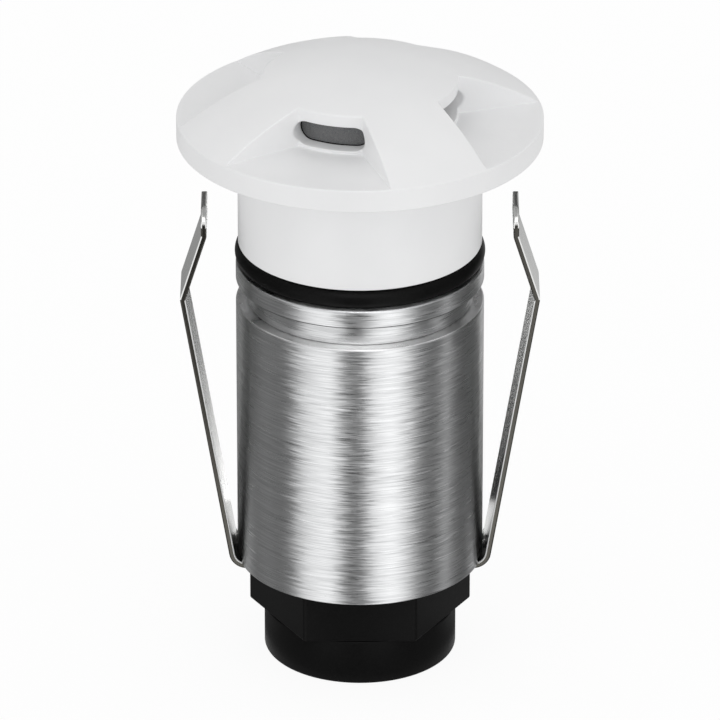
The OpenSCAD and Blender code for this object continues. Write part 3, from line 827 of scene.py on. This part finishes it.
def winding_recipe():
    """A ridge or wire that winds up round the upright axis, with a profile of four sides and rounded corners."""
    recipe = Recipe("winding", "Radius", "Pitch", "Turns", "Depth", "Root", "Crest", "Round", "Height")
    given, shape = recipe.given, recipe.shape
    helix = shape("GeometryNodeCurveSpiral", {
        "Resolution": 72, "Rotations": given["Turns"], "Start Radius": given["Radius"],
        "End Radius": given["Radius"], "Height": recipe.number("MULTIPLY", given["Pitch"], given["Turns"]),
    })
    upright = shape("GeometryNodeSetCurveNormal", {"Curve": helix}, mode="Z_UP")
    widths = {"Height": given["Depth"], "Bottom Width": given["Root"], "Top Width": given["Crest"], "Offset": 0.0}
    profile = shape("GeometryNodeCurvePrimitiveQuadrilateral", widths, mode="TRAPEZOID")
    outward = shape("GeometryNodeTransform", {"Geometry": profile, "Rotation": (0, 0, math.radians(PROFILE_TURN))})
    softened = recipe.rounded(outward, given["Round"])
    wound = shape("GeometryNodeCurveToMesh", {"Curve": upright, "Profile Curve": softened, "Fill Caps": True})
    recipe.close(wound, Translation=recipe.vector(Z=given["Height"]))
    return recipe


def fins_recipe():
    """Round cooling fins with rounded edges, one above the other."""
    recipe = Recipe("fins", "Inner radius", "Outer radius", "Thickness", "Space", "Round", "Height", Count="Int")
    given, shape, number = recipe.given, recipe.shape, recipe.number
    inner, outer, thickness = given["Inner radius"], given["Outer radius"], given["Thickness"]
    middle = number("MULTIPLY", number("ADD", outer, inner), 0.5)
    hoop = shape("GeometryNodeCurvePrimitiveCircle", {"Resolution": 144, "Radius": middle})
    upright = shape("GeometryNodeSetCurveNormal", {"Curve": hoop}, mode="Z_UP")
    section = {"Width": number("SUBTRACT", outer, inner), "Height": thickness}
    profile = shape("GeometryNodeCurvePrimitiveQuadrilateral", section, mode="RECTANGLE")
    softened = recipe.rounded(profile, given["Round"])
    fin = shape("GeometryNodeCurveToMesh", {"Curve": upright, "Profile Curve": softened})
    first = recipe.vector(Z=number("ADD", given["Height"], number("MULTIPLY", thickness, 0.5)))
    step = recipe.vector(Z=number("ADD", thickness, given["Space"]))
    column = {"Count": given["Count"], "Start Location": first, "Offset": step}
    line = shape("GeometryNodeMeshLine", column, mode="OFFSET")
    recipe.close(shape("GeometryNodeInstanceOnPoints", {"Points": line, "Instance": fin}))
    return recipe


def circle_recipe():
    """Copies of one piece on a circle round the light's axis, each turned with its place."""
    recipe = Recipe("on_a_circle", "Radius", "First angle", "Height", Copied="Object", Count="Int")
    given, shape = recipe.given, recipe.shape
    hoop = shape("GeometryNodeMeshCircle", {"Vertices": given["Count"], "Radius": given["Radius"]}, fill_type="NONE")
    source = recipe.node("GeometryNodeObjectInfo", {"Object": given["Copied"]}, transform_space="ORIGINAL")
    turn = recipe.vector(Z=recipe.equal_turns())
    set_out = shape("GeometryNodeInstanceOnPoints", {"Points": hoop, "Instance": source["Geometry"], "Rotation": turn})
    lift, spin = recipe.vector(Z=given["Height"]), recipe.vector(Z=given["First angle"])
    recipe.close(set_out, Translation=lift, Rotation=spin)
    return recipe


def bead_recipe():
    """Round beads along the outlines of upright slots in a round wall, one slot at each of the equal turns."""
    sizes = "Wall radius", "Width", "Slot height", "Bead radius", "First angle", "Height"
    recipe = Recipe("slot_beads", *sizes, Count="Int")
    given, shape, number = recipe.given, recipe.shape, recipe.number
    slot = {"Width": given["Width"], "Height": given["Slot height"]}
    flat = shape("GeometryNodeCurvePrimitiveQuadrilateral", slot, mode="RECTANGLE")
    outline = recipe.rounded(flat, number("MULTIPLY", given["Slot height"], 0.499), 12, False)
    even = shape("GeometryNodeResampleCurve", {"Curve": outline, "Length": 0.25 * MM}, mode="LENGTH")
    spot = recipe.parts(shape("GeometryNodeInputPosition"))
    wall, across = number("POWER", given["Wall radius"], 2.0), number("MULTIPLY", spot["X"], spot["X"])
    out = number("POWER", number("SUBTRACT", wall, across), 0.5)
    on_wall = recipe.vector(X=out, Y=spot["X"], Z=spot["Y"])
    bent = shape("GeometryNodeSetPosition", {"Geometry": even, "Position": on_wall})
    profile = shape("GeometryNodeCurvePrimitiveCircle", {"Resolution": 10, "Radius": given["Bead radius"]})
    bead = shape("GeometryNodeCurveToMesh", {"Curve": bent, "Profile Curve": profile})
    line = shape("GeometryNodeMeshLine", {"Count": given["Count"], "Offset": (0, 0, 0)}, mode="OFFSET")
    turn = recipe.vector(Z=number("ADD", recipe.equal_turns(), given["First angle"]))
    set_out = shape("GeometryNodeInstanceOnPoints", {"Points": line, "Instance": bead, "Rotation": turn})
    recipe.close(set_out, Translation=recipe.vector(Z=given["Height"]))
    return recipe


# Materials
class Finish(NodeTree):
    """A procedural material: one shader and the nodes that feed it."""

    def __init__(self, name, **sockets):
        self.material = bpy.data.materials.new(name)
        self.material.use_nodes = True
        super().__init__(self.material.node_tree)
        self.shader = self.tree.nodes["Principled BSDF"]
        for key, value in sockets.items():
            self.shader.inputs[key.replace("_", " ").title().replace("Ior", "IOR")].default_value = value
        self.place = self.node("ShaderNodeTexCoord")["Object"]

    def drive(self, socket, value):
        self.feed(self.shader.inputs[socket], value)

    def grain(self, scale, detail=2.0, stretch=(1, 1, 1)):
        """Noise with this many steps in a metre, stretched by direction."""
        place = self.node("ShaderNodeMapping", {"Vector": self.place, "Scale": stretch})[0]
        return self.node("ShaderNodeTexNoise", {"Vector": place, "Scale": scale, "Detail": detail})[0]

    def spread(self, value, low, high, first=0.3, last=0.7):
        """Value that runs from low to high while the given one runs from first to last."""
        limits = {"Value": value, "From Min": first, "From Max": last, "To Min": low, "To Max": high}
        return self.node("ShaderNodeMapRange", limits)[0]

    def colour(self, value, dark, light, first=0.3, last=0.7):
        """Base colour that runs from dark to light with a value."""
        ramp = self.tree.nodes.new("ShaderNodeValToRGB")
        self.feed(ramp.inputs["Fac"], value)
        for element, position, shade in zip(ramp.color_ramp.elements, (first, last), (dark, light)):
            element.position = position
            element.color = (*shade, 1)
        self.drive("Base Color", ramp.outputs["Color"])
        return ramp.outputs["Color"]

    def lay_over(self, base, *layers):
        """Base colour with plain shades over it, each on its share of the surface."""
        for share, shade in layers:
            base = self.node("ShaderNodeMix", {"Factor": share, 6: base, 7: (*shade, 1)}, data_type="RGBA")[2]
        self.drive("Base Color", base)

    def roughness(self, value, low, high):
        self.drive("Roughness", self.spread(value, low, high))

    def bump(self, value, depth):
        """Relief of this depth in millimetres."""
        self.drive("Normal", self.node("ShaderNodeBump", {"Height": value, "Distance": depth * MM, "Strength": 1.0})[0])


def grey(level):
    return (level, level, level)


def powder_coat():
    finish = Finish("powder_coat_white", specular_ior_level=0.4)
    finish.colour(finish.grain(70), (0.87, 0.873, 0.879), (0.9, 0.902, 0.906))
    finish.roughness(finish.grain(900), 0.42, 0.5)
    finish.bump(finish.grain(1500, 3.0), 0.02)
    return finish.material


def brushed_steel():
    """Steel brushed round the sleeve: long fine streaks that also lean the reflections to each side.

    Faces turned upward below the seal get a painted highlight, and edges turned downward a painted shade.
    """
    finish = Finish("brushed_steel", metallic=1.0, anisotropic=0.9, anisotropic_rotation=0.25)
    number, spread = finish.number, finish.spread
    streaks = finish.grain(1.0, 4.0, (110, 110, 6500))
    base = finish.colour(streaks, (0.42, 0.425, 0.43), (0.64, 0.645, 0.65), 0.28, 0.72)
    normal = finish.node("ShaderNodeNewGeometry")["Normal"]
    upward = finish.parts(normal)["Z"]
    # Painted shade: edges turned downward are coloured dark grey.
    low_edge_shade = number("MULTIPLY", spread(upward, 1, 0, -0.6, -0.2), spread(upward, 0, 1, -0.97, -0.85))
    # Painted highlight: faces turned upward, below the seal, are coloured bright grey.
    below_seal = spread(finish.parts(finish.place)["Z"], 1, 0, *LEDGE_HIGHLIGHT_END)
    ledge_highlight = number("MULTIPLY", spread(upward, 0, 1, 0.6, 0.9), below_seal)
    finish.lay_over(base, (ledge_highlight, grey(0.9)), (low_edge_shade, grey(0.12)))
    finish.roughness(finish.grain(1.0, 3.0, (150, 150, 4600)), 0.24, 0.46)
    tangent = finish.node("ShaderNodeTangent", direction_type="RADIAL", axis="Z")[0]
    finish.drive("Tangent", tangent)
    lean = spread(finish.grain(1.0, 3.0, (200, 200, 5400)), -0.1, 0.1, 0.2, 0.8)
    sideways = finish.node("ShaderNodeVectorMath", {0: tangent, "Scale": lean}, operation="SCALE")[0]
    leaned = finish.node("ShaderNodeVectorMath", {0: normal, 1: sideways}, operation="ADD")[0]
    finish.drive("Normal", finish.node("ShaderNodeVectorMath", {0: leaned}, operation="NORMALIZE")[0])
    return finish.material


def rolled_steel():
    """Strip steel, rolled along its length. Its sheared edges are dark, with a painted highlight line, bright and not
    metallic, on their upper side.
    """
    finish = Finish("rolled_spring_steel")
    number, spread = finish.number, finish.spread
    streaks = finish.grain(1.0, 3.0, (900, 4200, 120))
    place = finish.parts(finish.place)
    facing = finish.parts(finish.node("ShaderNodeNewGeometry")["Normal"])
    beside, across, sideways = [number("ABSOLUTE", part) for part in (place["Y"], facing["X"], facing["Y"])]
    half = STRIP_W / 2
    # Painted highlight: the top of the strip's free end is coloured lighter grey.
    end = number("MULTIPLY", spread(across, 1, 0, 0.3, 0.6), spread(place["Z"], 0, 1, 0.03, 0.034))
    near_edge = spread(beside, 0, 1, (half - 0.26) * MM, (half - 0.22) * MM)
    upper = number("MULTIPLY", spread(facing["Z"], 0, 1, 0.01, 0.04), spread(sideways, 1, 0, 0.955, 0.985))
    # Painted highlight: a bright, non-metallic line on the upper round of each edge.
    painted_edge_highlight = number("MULTIPLY", near_edge, upper)
    side = number("MULTIPLY", near_edge, spread(upper, 1, 0, 0, 1))
    base = finish.colour(streaks, (0.62, 0.625, 0.61), (0.74, 0.745, 0.73))
    finish.lay_over(base, (end, (0.5, 0.5, 0.49)), (side, (0.075, 0.072, 0.064)), (painted_edge_highlight, (0.95, 0.95, 0.94)))
    finish.drive("Metallic", spread(painted_edge_highlight, 1, 0, 0, 1))
    finish.roughness(streaks, 0.16, 0.24)
    finish.bump(streaks, 0.0015)
    return finish.material


def speckled(name, dark, light, rough, grain=2600, relief=0.01, **sockets):
    """Even finish with fine speckle: colour, roughness and relief follow one grain."""
    finish = Finish(name, **sockets)
    speck = finish.grain(grain, 3.0)
    finish.colour(speck, dark, light)
    finish.roughness(speck, *rough)
    finish.bump(speck, relief)
    return finish.material


def circuit_board(name, dark, light):
    """Lacquered board with faint copper paths under the lacquer."""
    finish = Finish(name, coat_weight=0.3, coat_roughness=0.2)
    cells = {"Vector": finish.place, "Scale": 420.0}
    paths = finish.node("ShaderNodeTexVoronoi", cells, distance="CHEBYCHEV")["Distance"]
    finish.colour(paths, dark, light, 0.45, 0.5)
    finish.roughness(finish.grain(1200), 0.35, 0.5)
    finish.bump(paths, 0.01)
    return finish.material


FINISHES = {
    "coated_white": powder_coat(),
    "body_steel": brushed_steel(),
    "spring_steel": rolled_steel(),
    "seal_rubber": speckled(
        "seal_rubber_black", grey(0.003), grey(0.005), (0.34, 0.42), relief=0.004, specular_ior_level=0.06),
    "frosted_cover": speckled("frosted_cover_grey", (0.07, 0.071, 0.073), (0.195, 0.197, 0.2), (0.5, 0.7), 8000, 0.008),
    "reflector_metal": speckled("reflector_bright", grey(0.8), grey(0.87), (0.12, 0.2), 900, 0.003, metallic=1.0),
    "retainer_metal": speckled("retainer_satin", grey(0.5), grey(0.6), (0.3, 0.42), 1800, 0.006, metallic=1.0),
    "gland_plastic": speckled(
        "moulded_black_plastic", grey(0.004), grey(0.006), (0.4, 0.5), 3200, 0.01, specular_ior_level=0.06),
    "sink_metal": speckled("cast_aluminium", grey(0.58), grey(0.68), (0.3, 0.45), 1500, 0.01, metallic=1.0),
    "heat_pad_grey": speckled("heat_pad_grey", (0.2, 0.22, 0.25), (0.27, 0.29, 0.32), (0.6, 0.8), 2000, 0.015),
    "board_white": circuit_board("board_white", (0.7, 0.7, 0.69), (0.8, 0.8, 0.79)),
    "diode_yellow": speckled("diode_yellow", (0.75, 0.47, 0.05), (0.85, 0.6, 0.1), (0.3, 0.45), 1800, 0.01),
    "screw_steel": speckled("screw_steel", grey(0.5), grey(0.62), (0.25, 0.36), 2200, 0.004, metallic=1.0),
    "lead_red": speckled("lead_red", (0.45, 0.02, 0.015), (0.56, 0.035, 0.025), (0.35, 0.45), 1600, 0.008),
    "cup_plastic": speckled("cup_plastic", grey(0.6), grey(0.68), (0.4, 0.55), 2400, 0.012),
    "board_green": circuit_board("board_green", (0.01, 0.09, 0.035), (0.02, 0.16, 0.06)),
    "coil_copper": speckled(
        "coil_copper", (0.62, 0.27, 0.12), (0.74, 0.36, 0.18), (0.25, 0.36), 1500, 0.004, metallic=1.0),
    "capacitor_blue": speckled("capacitor_blue", (0.01, 0.02, 0.09), (0.02, 0.035, 0.14), (0.25, 0.35), 1500, 0.005),
    "chip_black": speckled("chip_black", grey(0.012), grey(0.022), (0.5, 0.65), 3000, 0.01),
}


# The pieces
def dress(piece, body, slot, *stands_for):
    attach(piece, body)
    if stands_for:
        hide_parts(*stands_for)


def turn_and_dress(name, outline, slot, body, stands_for, arc_steps=5, count=192):
    dress(turned_piece(name, outline, FINISHES[slot], arc_steps, count), body, slot, stands_for)


winding = winding_recipe()

dress(cap_piece(FINISHES["coated_white"]), "cap", "coated_white", "cap")
thread = {
    "Radius": (CORE_R + THREAD_DEPTH / 2 - 0.05) * MM, "Pitch": THREAD_PITCH * MM, "Turns": THREAD_TURNS,
    "Depth": (THREAD_DEPTH + 0.1) * MM, "Root": 1.2 * MM, "Crest": 0.4 * MM, "Round": 0.1 * MM,
    "Height": THREAD_Z * MM,
}
dress(winding.bake("cap_thread", thread, FINISHES["coated_white"]), "cap", "coated_white")
cord = plain_section(SPIGOT_R, SEAL_OUTER_R, BODY_TOP, NECK_Z, (SEAL_OUTER_R - SPIGOT_R) / 2)
turn_and_dress("seal_ring", cord, "seal_rubber", "cap", "neck_seal", 9, 256)

cover = [
    (COVER_R, COVER_Z, 0.15),
    (COVER_OUTER_R, COVER_Z, 0.15),
    (COVER_OUTER_R, COVER_TOP, 0.15),
    (COVER_LIP_R, COVER_TOP, 0.1),
    (COVER_LIP_R, COVER_LIP_Z, 0.1),
    (COVER_R, COVER_LIP_Z, 0.1),
]
turn_and_dress("diffuser_ring", cover, "frosted_cover", "cap", "diffuser")
retainer = plain_section(RETAINER_R, RETAINER_OUTER_R, RETAINER_Z, COVER_Z, 0.2)
turn_and_dress("diffuser_retainer_ring", retainer, "retainer_metal", "cap", "diffuser_retainer")

# Painted shadow: thin black beads round each window's inner edge stand in for the shade at the edge of the recess.
beads = {
    "Wall radius": (CHAMBER_R + 0.02) * MM, "Width": WINDOW_W * MM, "Slot height": WINDOW_H * MM,
    "Bead radius": BEAD_R * MM, "Count": 4, "First angle": math.radians(WINDOW_TURNS[1]),
    "Height": (WINDOW_Z + WINDOW_H / 2) * MM,
}
dress(bead_recipe().bake("window_beads", beads, FINISHES["seal_rubber"], 60), "cap", "seal_rubber")

dress(notched_body(FINISHES["body_steel"]), "housing", "body_steel", "steel_body")
clip = plain_section(CLIP_RING_R, CLIP_RING_R + CLIP_RING_W, CLIP_Z, CLIP_Z + STRIP_T, 0.1)
turn_and_dress("clip_ring", clip, "spring_steel", "housing", "spring_clip_base")
for name, side in (("left_spring", -1), ("right_spring", 1)):
    strip = strip_piece(name + "_strip", side, FINISHES["spring_steel"])
    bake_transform(strip)
    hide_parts(name + "_arm")

dress(gland_piece(FINISHES["gland_plastic"]), "housing", "gland_plastic", "gland_body")
nut = [
    (NUT_HOLE_R, 0, 0.4),
    (NUT_R, 0, 0.5),
    (NUT_R, NUT_H, 0.3),
    (COLLAR_R + 0.1, NUT_H, 0.3),
    (COLLAR_R + 0.1, NUT_WALL, 0.3),
    (NUT_HOLE_R, NUT_WALL, 0.3),
]
turn_and_dress("nut_shell", nut, "gland_plastic", "gland_nut", "gland_nut", 5, 256)
bush = plain_section(CABLE_R, BUSH_R, BUSH_Z, BUSH_TOP, 0.4)
turn_and_dress("bush_ring", bush, "seal_rubber", "housing", "gland_bush")

# What stands inside
core_outline = [
    (CHANNEL_R, SINK_Z, 0.2),
    (SINK_R, SINK_Z, 0.3),
    (SINK_R, SINK_FINS_Z - FIN_SPACE, 0.3),
    (SINK_CORE_R, SINK_FINS_Z - FIN_SPACE, 0.4),
    (SINK_CORE_R, PLATE_Z, 0.4),
    (FIN_R, PLATE_Z, 0.3),
    (FIN_R, PLATE_TOP, 0.4),
    (CHANNEL_R, PLATE_TOP, 0.2),
]
turn_and_dress("sink_core", core_outline, "sink_metal", "housing", "heat_sink", 4, 144)
fins = {
    "Inner radius": (SINK_CORE_R - 0.4) * MM, "Outer radius": FIN_R * MM, "Thickness": FIN_T * MM,
    "Space": FIN_SPACE * MM, "Count": 7, "Round": 0.35 * MM, "Height": SINK_FINS_Z * MM,
}
dress(fins_recipe().bake("sink_fins", fins, FINISHES["sink_metal"]), "housing", "sink_metal")
diode = block_piece("diode_pattern", DIODE_W, DIODE_H, 0.45, 0.2, FINISHES["diode_yellow"])
diodes = {
    "Copied": diode, "Count": 4, "Radius": DIODE_PLACE_R * MM, "First angle": math.radians(WINDOW_TURNS[1]),
    "Height": BOARD_TOP * MM,
}
dress(circle_recipe().bake("diode_blocks", diodes, FINISHES["diode_yellow"]), "housing", "diode_yellow", "lamp_diodes")
bpy.data.objects.remove(diode)

# The driver's coil lies along -Y: a drum and the wire wound on it
lying = Matrix.Translation(Vector((COIL_X, 0, COIL_Z)) * MM) @ Matrix.Rotation(math.radians(90), 4, "X")
drum_outline = [
    (COIL_HOLE_R, -COIL_BACK, 0.2),
    (COIL_R, -COIL_BACK, 0.3),
    (COIL_R, -COIL_BACK + 1, 0.2),
    (COIL_R - 1.6, -COIL_BACK + 1, 0.2),
    (COIL_R - 1.6, COIL_FRONT - 1, 0.2),
    (COIL_R, COIL_FRONT - 1, 0.2),
    (COIL_R, COIL_FRONT, 0.3),
    (COIL_HOLE_R, COIL_FRONT, 0.2),
]
wire = {
    "Radius": (COIL_R - 1.15) * MM, "Pitch": WIRE_PITCH * MM, "Turns": WIRE_TURNS, "Depth": WIRE_T * MM,
    "Root": WIRE_T * MM, "Crest": WIRE_T * MM, "Round": 0.34 * MM, "Height": (WIRE_Z - COIL_BACK) * MM,
}
drum = turned_piece("coil_drum", drum_outline, FINISHES["chip_black"], 4, 96)
turns = winding.bake("coil_wire", wire, FINISHES["coil_copper"], 60)
for piece in (drum, turns):
    piece.data.transform(lying)
dress(drum, "housing", "chip_black", "driver_coil")
dress(turns, "housing", "coil_copper")

# The rest keep their CAD shapes and take their finish
KEPT = {
    "diffuser_gasket": "seal_rubber",
    "reflector": "reflector_metal",
    "gland_washer": "seal_rubber",
    "heat_pad": "heat_pad_grey",
    "lamp_board": "board_white",
    "board_screws": "screw_steel",
    "lamp_leads": "lead_red",
    "driver_cup": "cup_plastic",
    "driver_lid": "cup_plastic",
    "driver_board": "board_green",
    "driver_capacitor": "capacitor_blue",
    "driver_chips": "chip_black",
}
for name, slot in KEPT.items():
    mesh = nodes[name].data
    mesh.materials.clear()
    mesh.materials.append(FINISHES[slot])


# The studio
def surface(name, build):
    material = bpy.data.materials.new(name)
    material.use_nodes = True
    material.node_tree.nodes.clear()
    build(NodeTree(material.node_tree))
    return material


def seen(tree):
    """1 for rays from the camera, off gloss and through glass."""
    rays = tree.node("ShaderNodeLightPath")
    direct = tree.number("MAXIMUM", rays["Is Camera Ray"], rays["Is Glossy Ray"])
    return tree.number("MAXIMUM", direct, rays["Is Transmission Ray"])


def floor_tree(tree):
    lit = tree.node("ShaderNodeBsdfDiffuse", {"Color": (0.93, 0.93, 0.93, 1)})[0]
    white = tree.node("ShaderNodeEmission", {"Strength": 1.01})[0]
    share = tree.number("MULTIPLY", seen(tree), FLOOR_WHITE)
    both = tree.node("ShaderNodeMixShader", {"Fac": share, 1: lit, 2: white})[0]
    tree.node("ShaderNodeOutputMaterial", {"Surface": both})


def card_finish(name, level=None):
    """A plain card as gloss shows it, of one level or of the levels that its points carry."""
    def build(tree):
        strength = level
        if level is None:
            strength = tree.node("ShaderNodeAttribute", attribute_name="level")["Fac"]
        glow = tree.node("ShaderNodeEmission", {"Strength": strength})[0]
        tree.node("ShaderNodeOutputMaterial", {"Surface": glow})

    return surface(name, build)


def plain_mesh(name, points, faces, material):
    mesh = bpy.data.meshes.new(name)
    mesh.from_pydata(points, [], faces)
    made = as_piece(name, mesh, material)
    return made


def only_in_gloss(card):
    for rays in ("camera", "diffuse", "shadow", "transmission"):
        setattr(card, "visible_" + rays, False)


def in_strips(count):
    """Faces between each three points and the next three."""
    return [f for i in range(0, count - 3, 3) for f in ((i, i + 1, i + 4, i + 3), (i + 1, i + 2, i + 5, i + 4))]


def levelled_card(name, points, levels, faces, finish):
    """A card seen only in gloss, whose points carry their levels."""
    card = plain_mesh(name, points, faces, card_finish(finish))
    card.data.attributes.new("level", "FLOAT", "POINT").data.foreach_set("value", levels)
    only_in_gloss(card)


def seen_off_the_sleeve(turn):
    """Where the camera's sight goes after it meets the sleeve this far round from its front, in degrees."""
    def way(angle):
        return Vector((math.sin(math.radians(angle)), -math.cos(math.radians(angle))))

    return way(turn) * BODY_R * MM, way(2 * turn)


def aim(thing, spot, target):
    thing.location = spot
    thing.rotation_euler = (Vector(target) - Vector(spot)).to_track_quat("-Z", "Y").to_euler()


def lamp(name, azimuth, distance, height, size, power):
    """Soft lamp. Azimuth 0 stands on the camera's side and turns to the right."""
    data = bpy.data.lights.new(name, "AREA")
    data.shape = "RECTANGLE"
    data.size, data.size_y = size
    data.energy = power
    made = linked(name, data)
    turn = math.radians(azimuth)
    aim(made, (distance * math.sin(turn), -distance * math.cos(turn), height), LAMP_TARGET)
    made.visible_camera = False
    made.visible_glossy = False


scene = bpy.context.scene
scene.view_settings.view_transform = "Standard"

corners = [(-4, -4, 0), (4, -4, 0), (4, 4, 0), (-4, 4, 0)]
plain_mesh("floor", corners, [(0, 1, 2, 3)], surface("pale_floor", floor_tree))
spokes = [plan(a) for a in round_turns(ROOM_SECTORS)]
quads = []
for i in range(ROOM_SECTORS):
    after = (i + 1) % ROOM_SECTORS
    quads.append((i, after, ROOM_SECTORS + after, ROOM_SECTORS + i))
dim = card_finish("dim_card", DIM_CARD)
only_in_gloss(plain_mesh("floor_card", [(*(r * u), CARD_Z / 2) for r in (0.018, ROOM_R) for u in spokes], quads, dim))
only_in_gloss(plain_mesh("wall_card", [(*(ROOM_R * u), z) for z in (0, CARD_TOP) for u in spokes], quads, dim))

points, levels = [], []
for (first, low), (last, high) in zip(GLEAM, GLEAM[1:]):
    parts = max(1, round((last - first) / 2.0))
    for share in steps(0, 1, parts)[:None if last == GLEAM[-1][0] else -1]:
        turn, level = first + (last - first) * share, low + (high - low) * share
        start, way = seen_off_the_sleeve(turn)
        near, far = start + way * CARD_NEAR, start + way * CARD_FAR
        points += [(*near, CARD_Z), (*far, CARD_Z), (*far, CARD_TOP)]
        levels += [level, level, level * min(1, max(0.15, (70 - abs(turn)) / 20))]
faces = in_strips(len(points))
for first, last, near, far, level in BEHIND:
    i = len(points)
    points += [(first, near, CARD_Z), (first, far, CARD_Z), (last, far, CARD_Z), (last, near, CARD_Z)]
    levels += [level] * 4
    faces.append((i, i + 1, i + 2, i + 3))
levelled_card("gleam_cards", points, levels, faces, "gleam_card")

# A bright canopy over the camera's side, strongest in front, which edges and the groove show
points, levels = [], []
for azimuth in steps(-75, 75, 30):
    out = plan(azimuth - 90)
    points += [(*(CANOPY_R * out), CANOPY_Z), (*(CANOPY_R * out), CANOPY_TOP), (*(CANOPY_INNER_R * out), CANOPY_TOP)]
    levels += [CANOPY * max(0.2, 1 - (azimuth / 45) ** 2), CANOPY * max(0.4, 1 - (azimuth / 60) ** 2), CANOPY * 0.8]
levelled_card("canopy_card", points, levels, in_strips(len(points)), "canopy_card")

scene.world = bpy.data.worlds.new("studio")
scene.world.use_nodes = True
scene.world.node_tree.nodes.clear()
sky = NodeTree(scene.world.node_tree)
soft, white = [
    sky.node("ShaderNodeBackground", {"Color": (1, 1, 1, 1), "Strength": level})[0] for level in (WORLD_LEVEL, 1.0)
]
both = sky.node("ShaderNodeMixShader", {"Fac": seen(sky), 1: soft, 2: white})[0]
sky.node("ShaderNodeOutputWorld", {"Surface": both})

lamp("left_soft", -38, 1.1, 0.35, (0.8, 0.7), 0.8)
lamp("right_soft", 42, 1.1, 0.35, (0.8, 0.7), 0.9)
lamp("top_soft", 0, 0.15, 1.1, (0.7, 0.7), 0.2)

camera_data = bpy.data.cameras.new("camera")
camera_data.lens = 401.84
camera_data.sensor_width = 36.0
camera_data.clip_start = 0.05
camera_data.clip_end = 20.0
camera = linked("camera", camera_data)
aim(camera, CAMERA_PLACE, CAMERA_TARGET)
scene.camera = camera
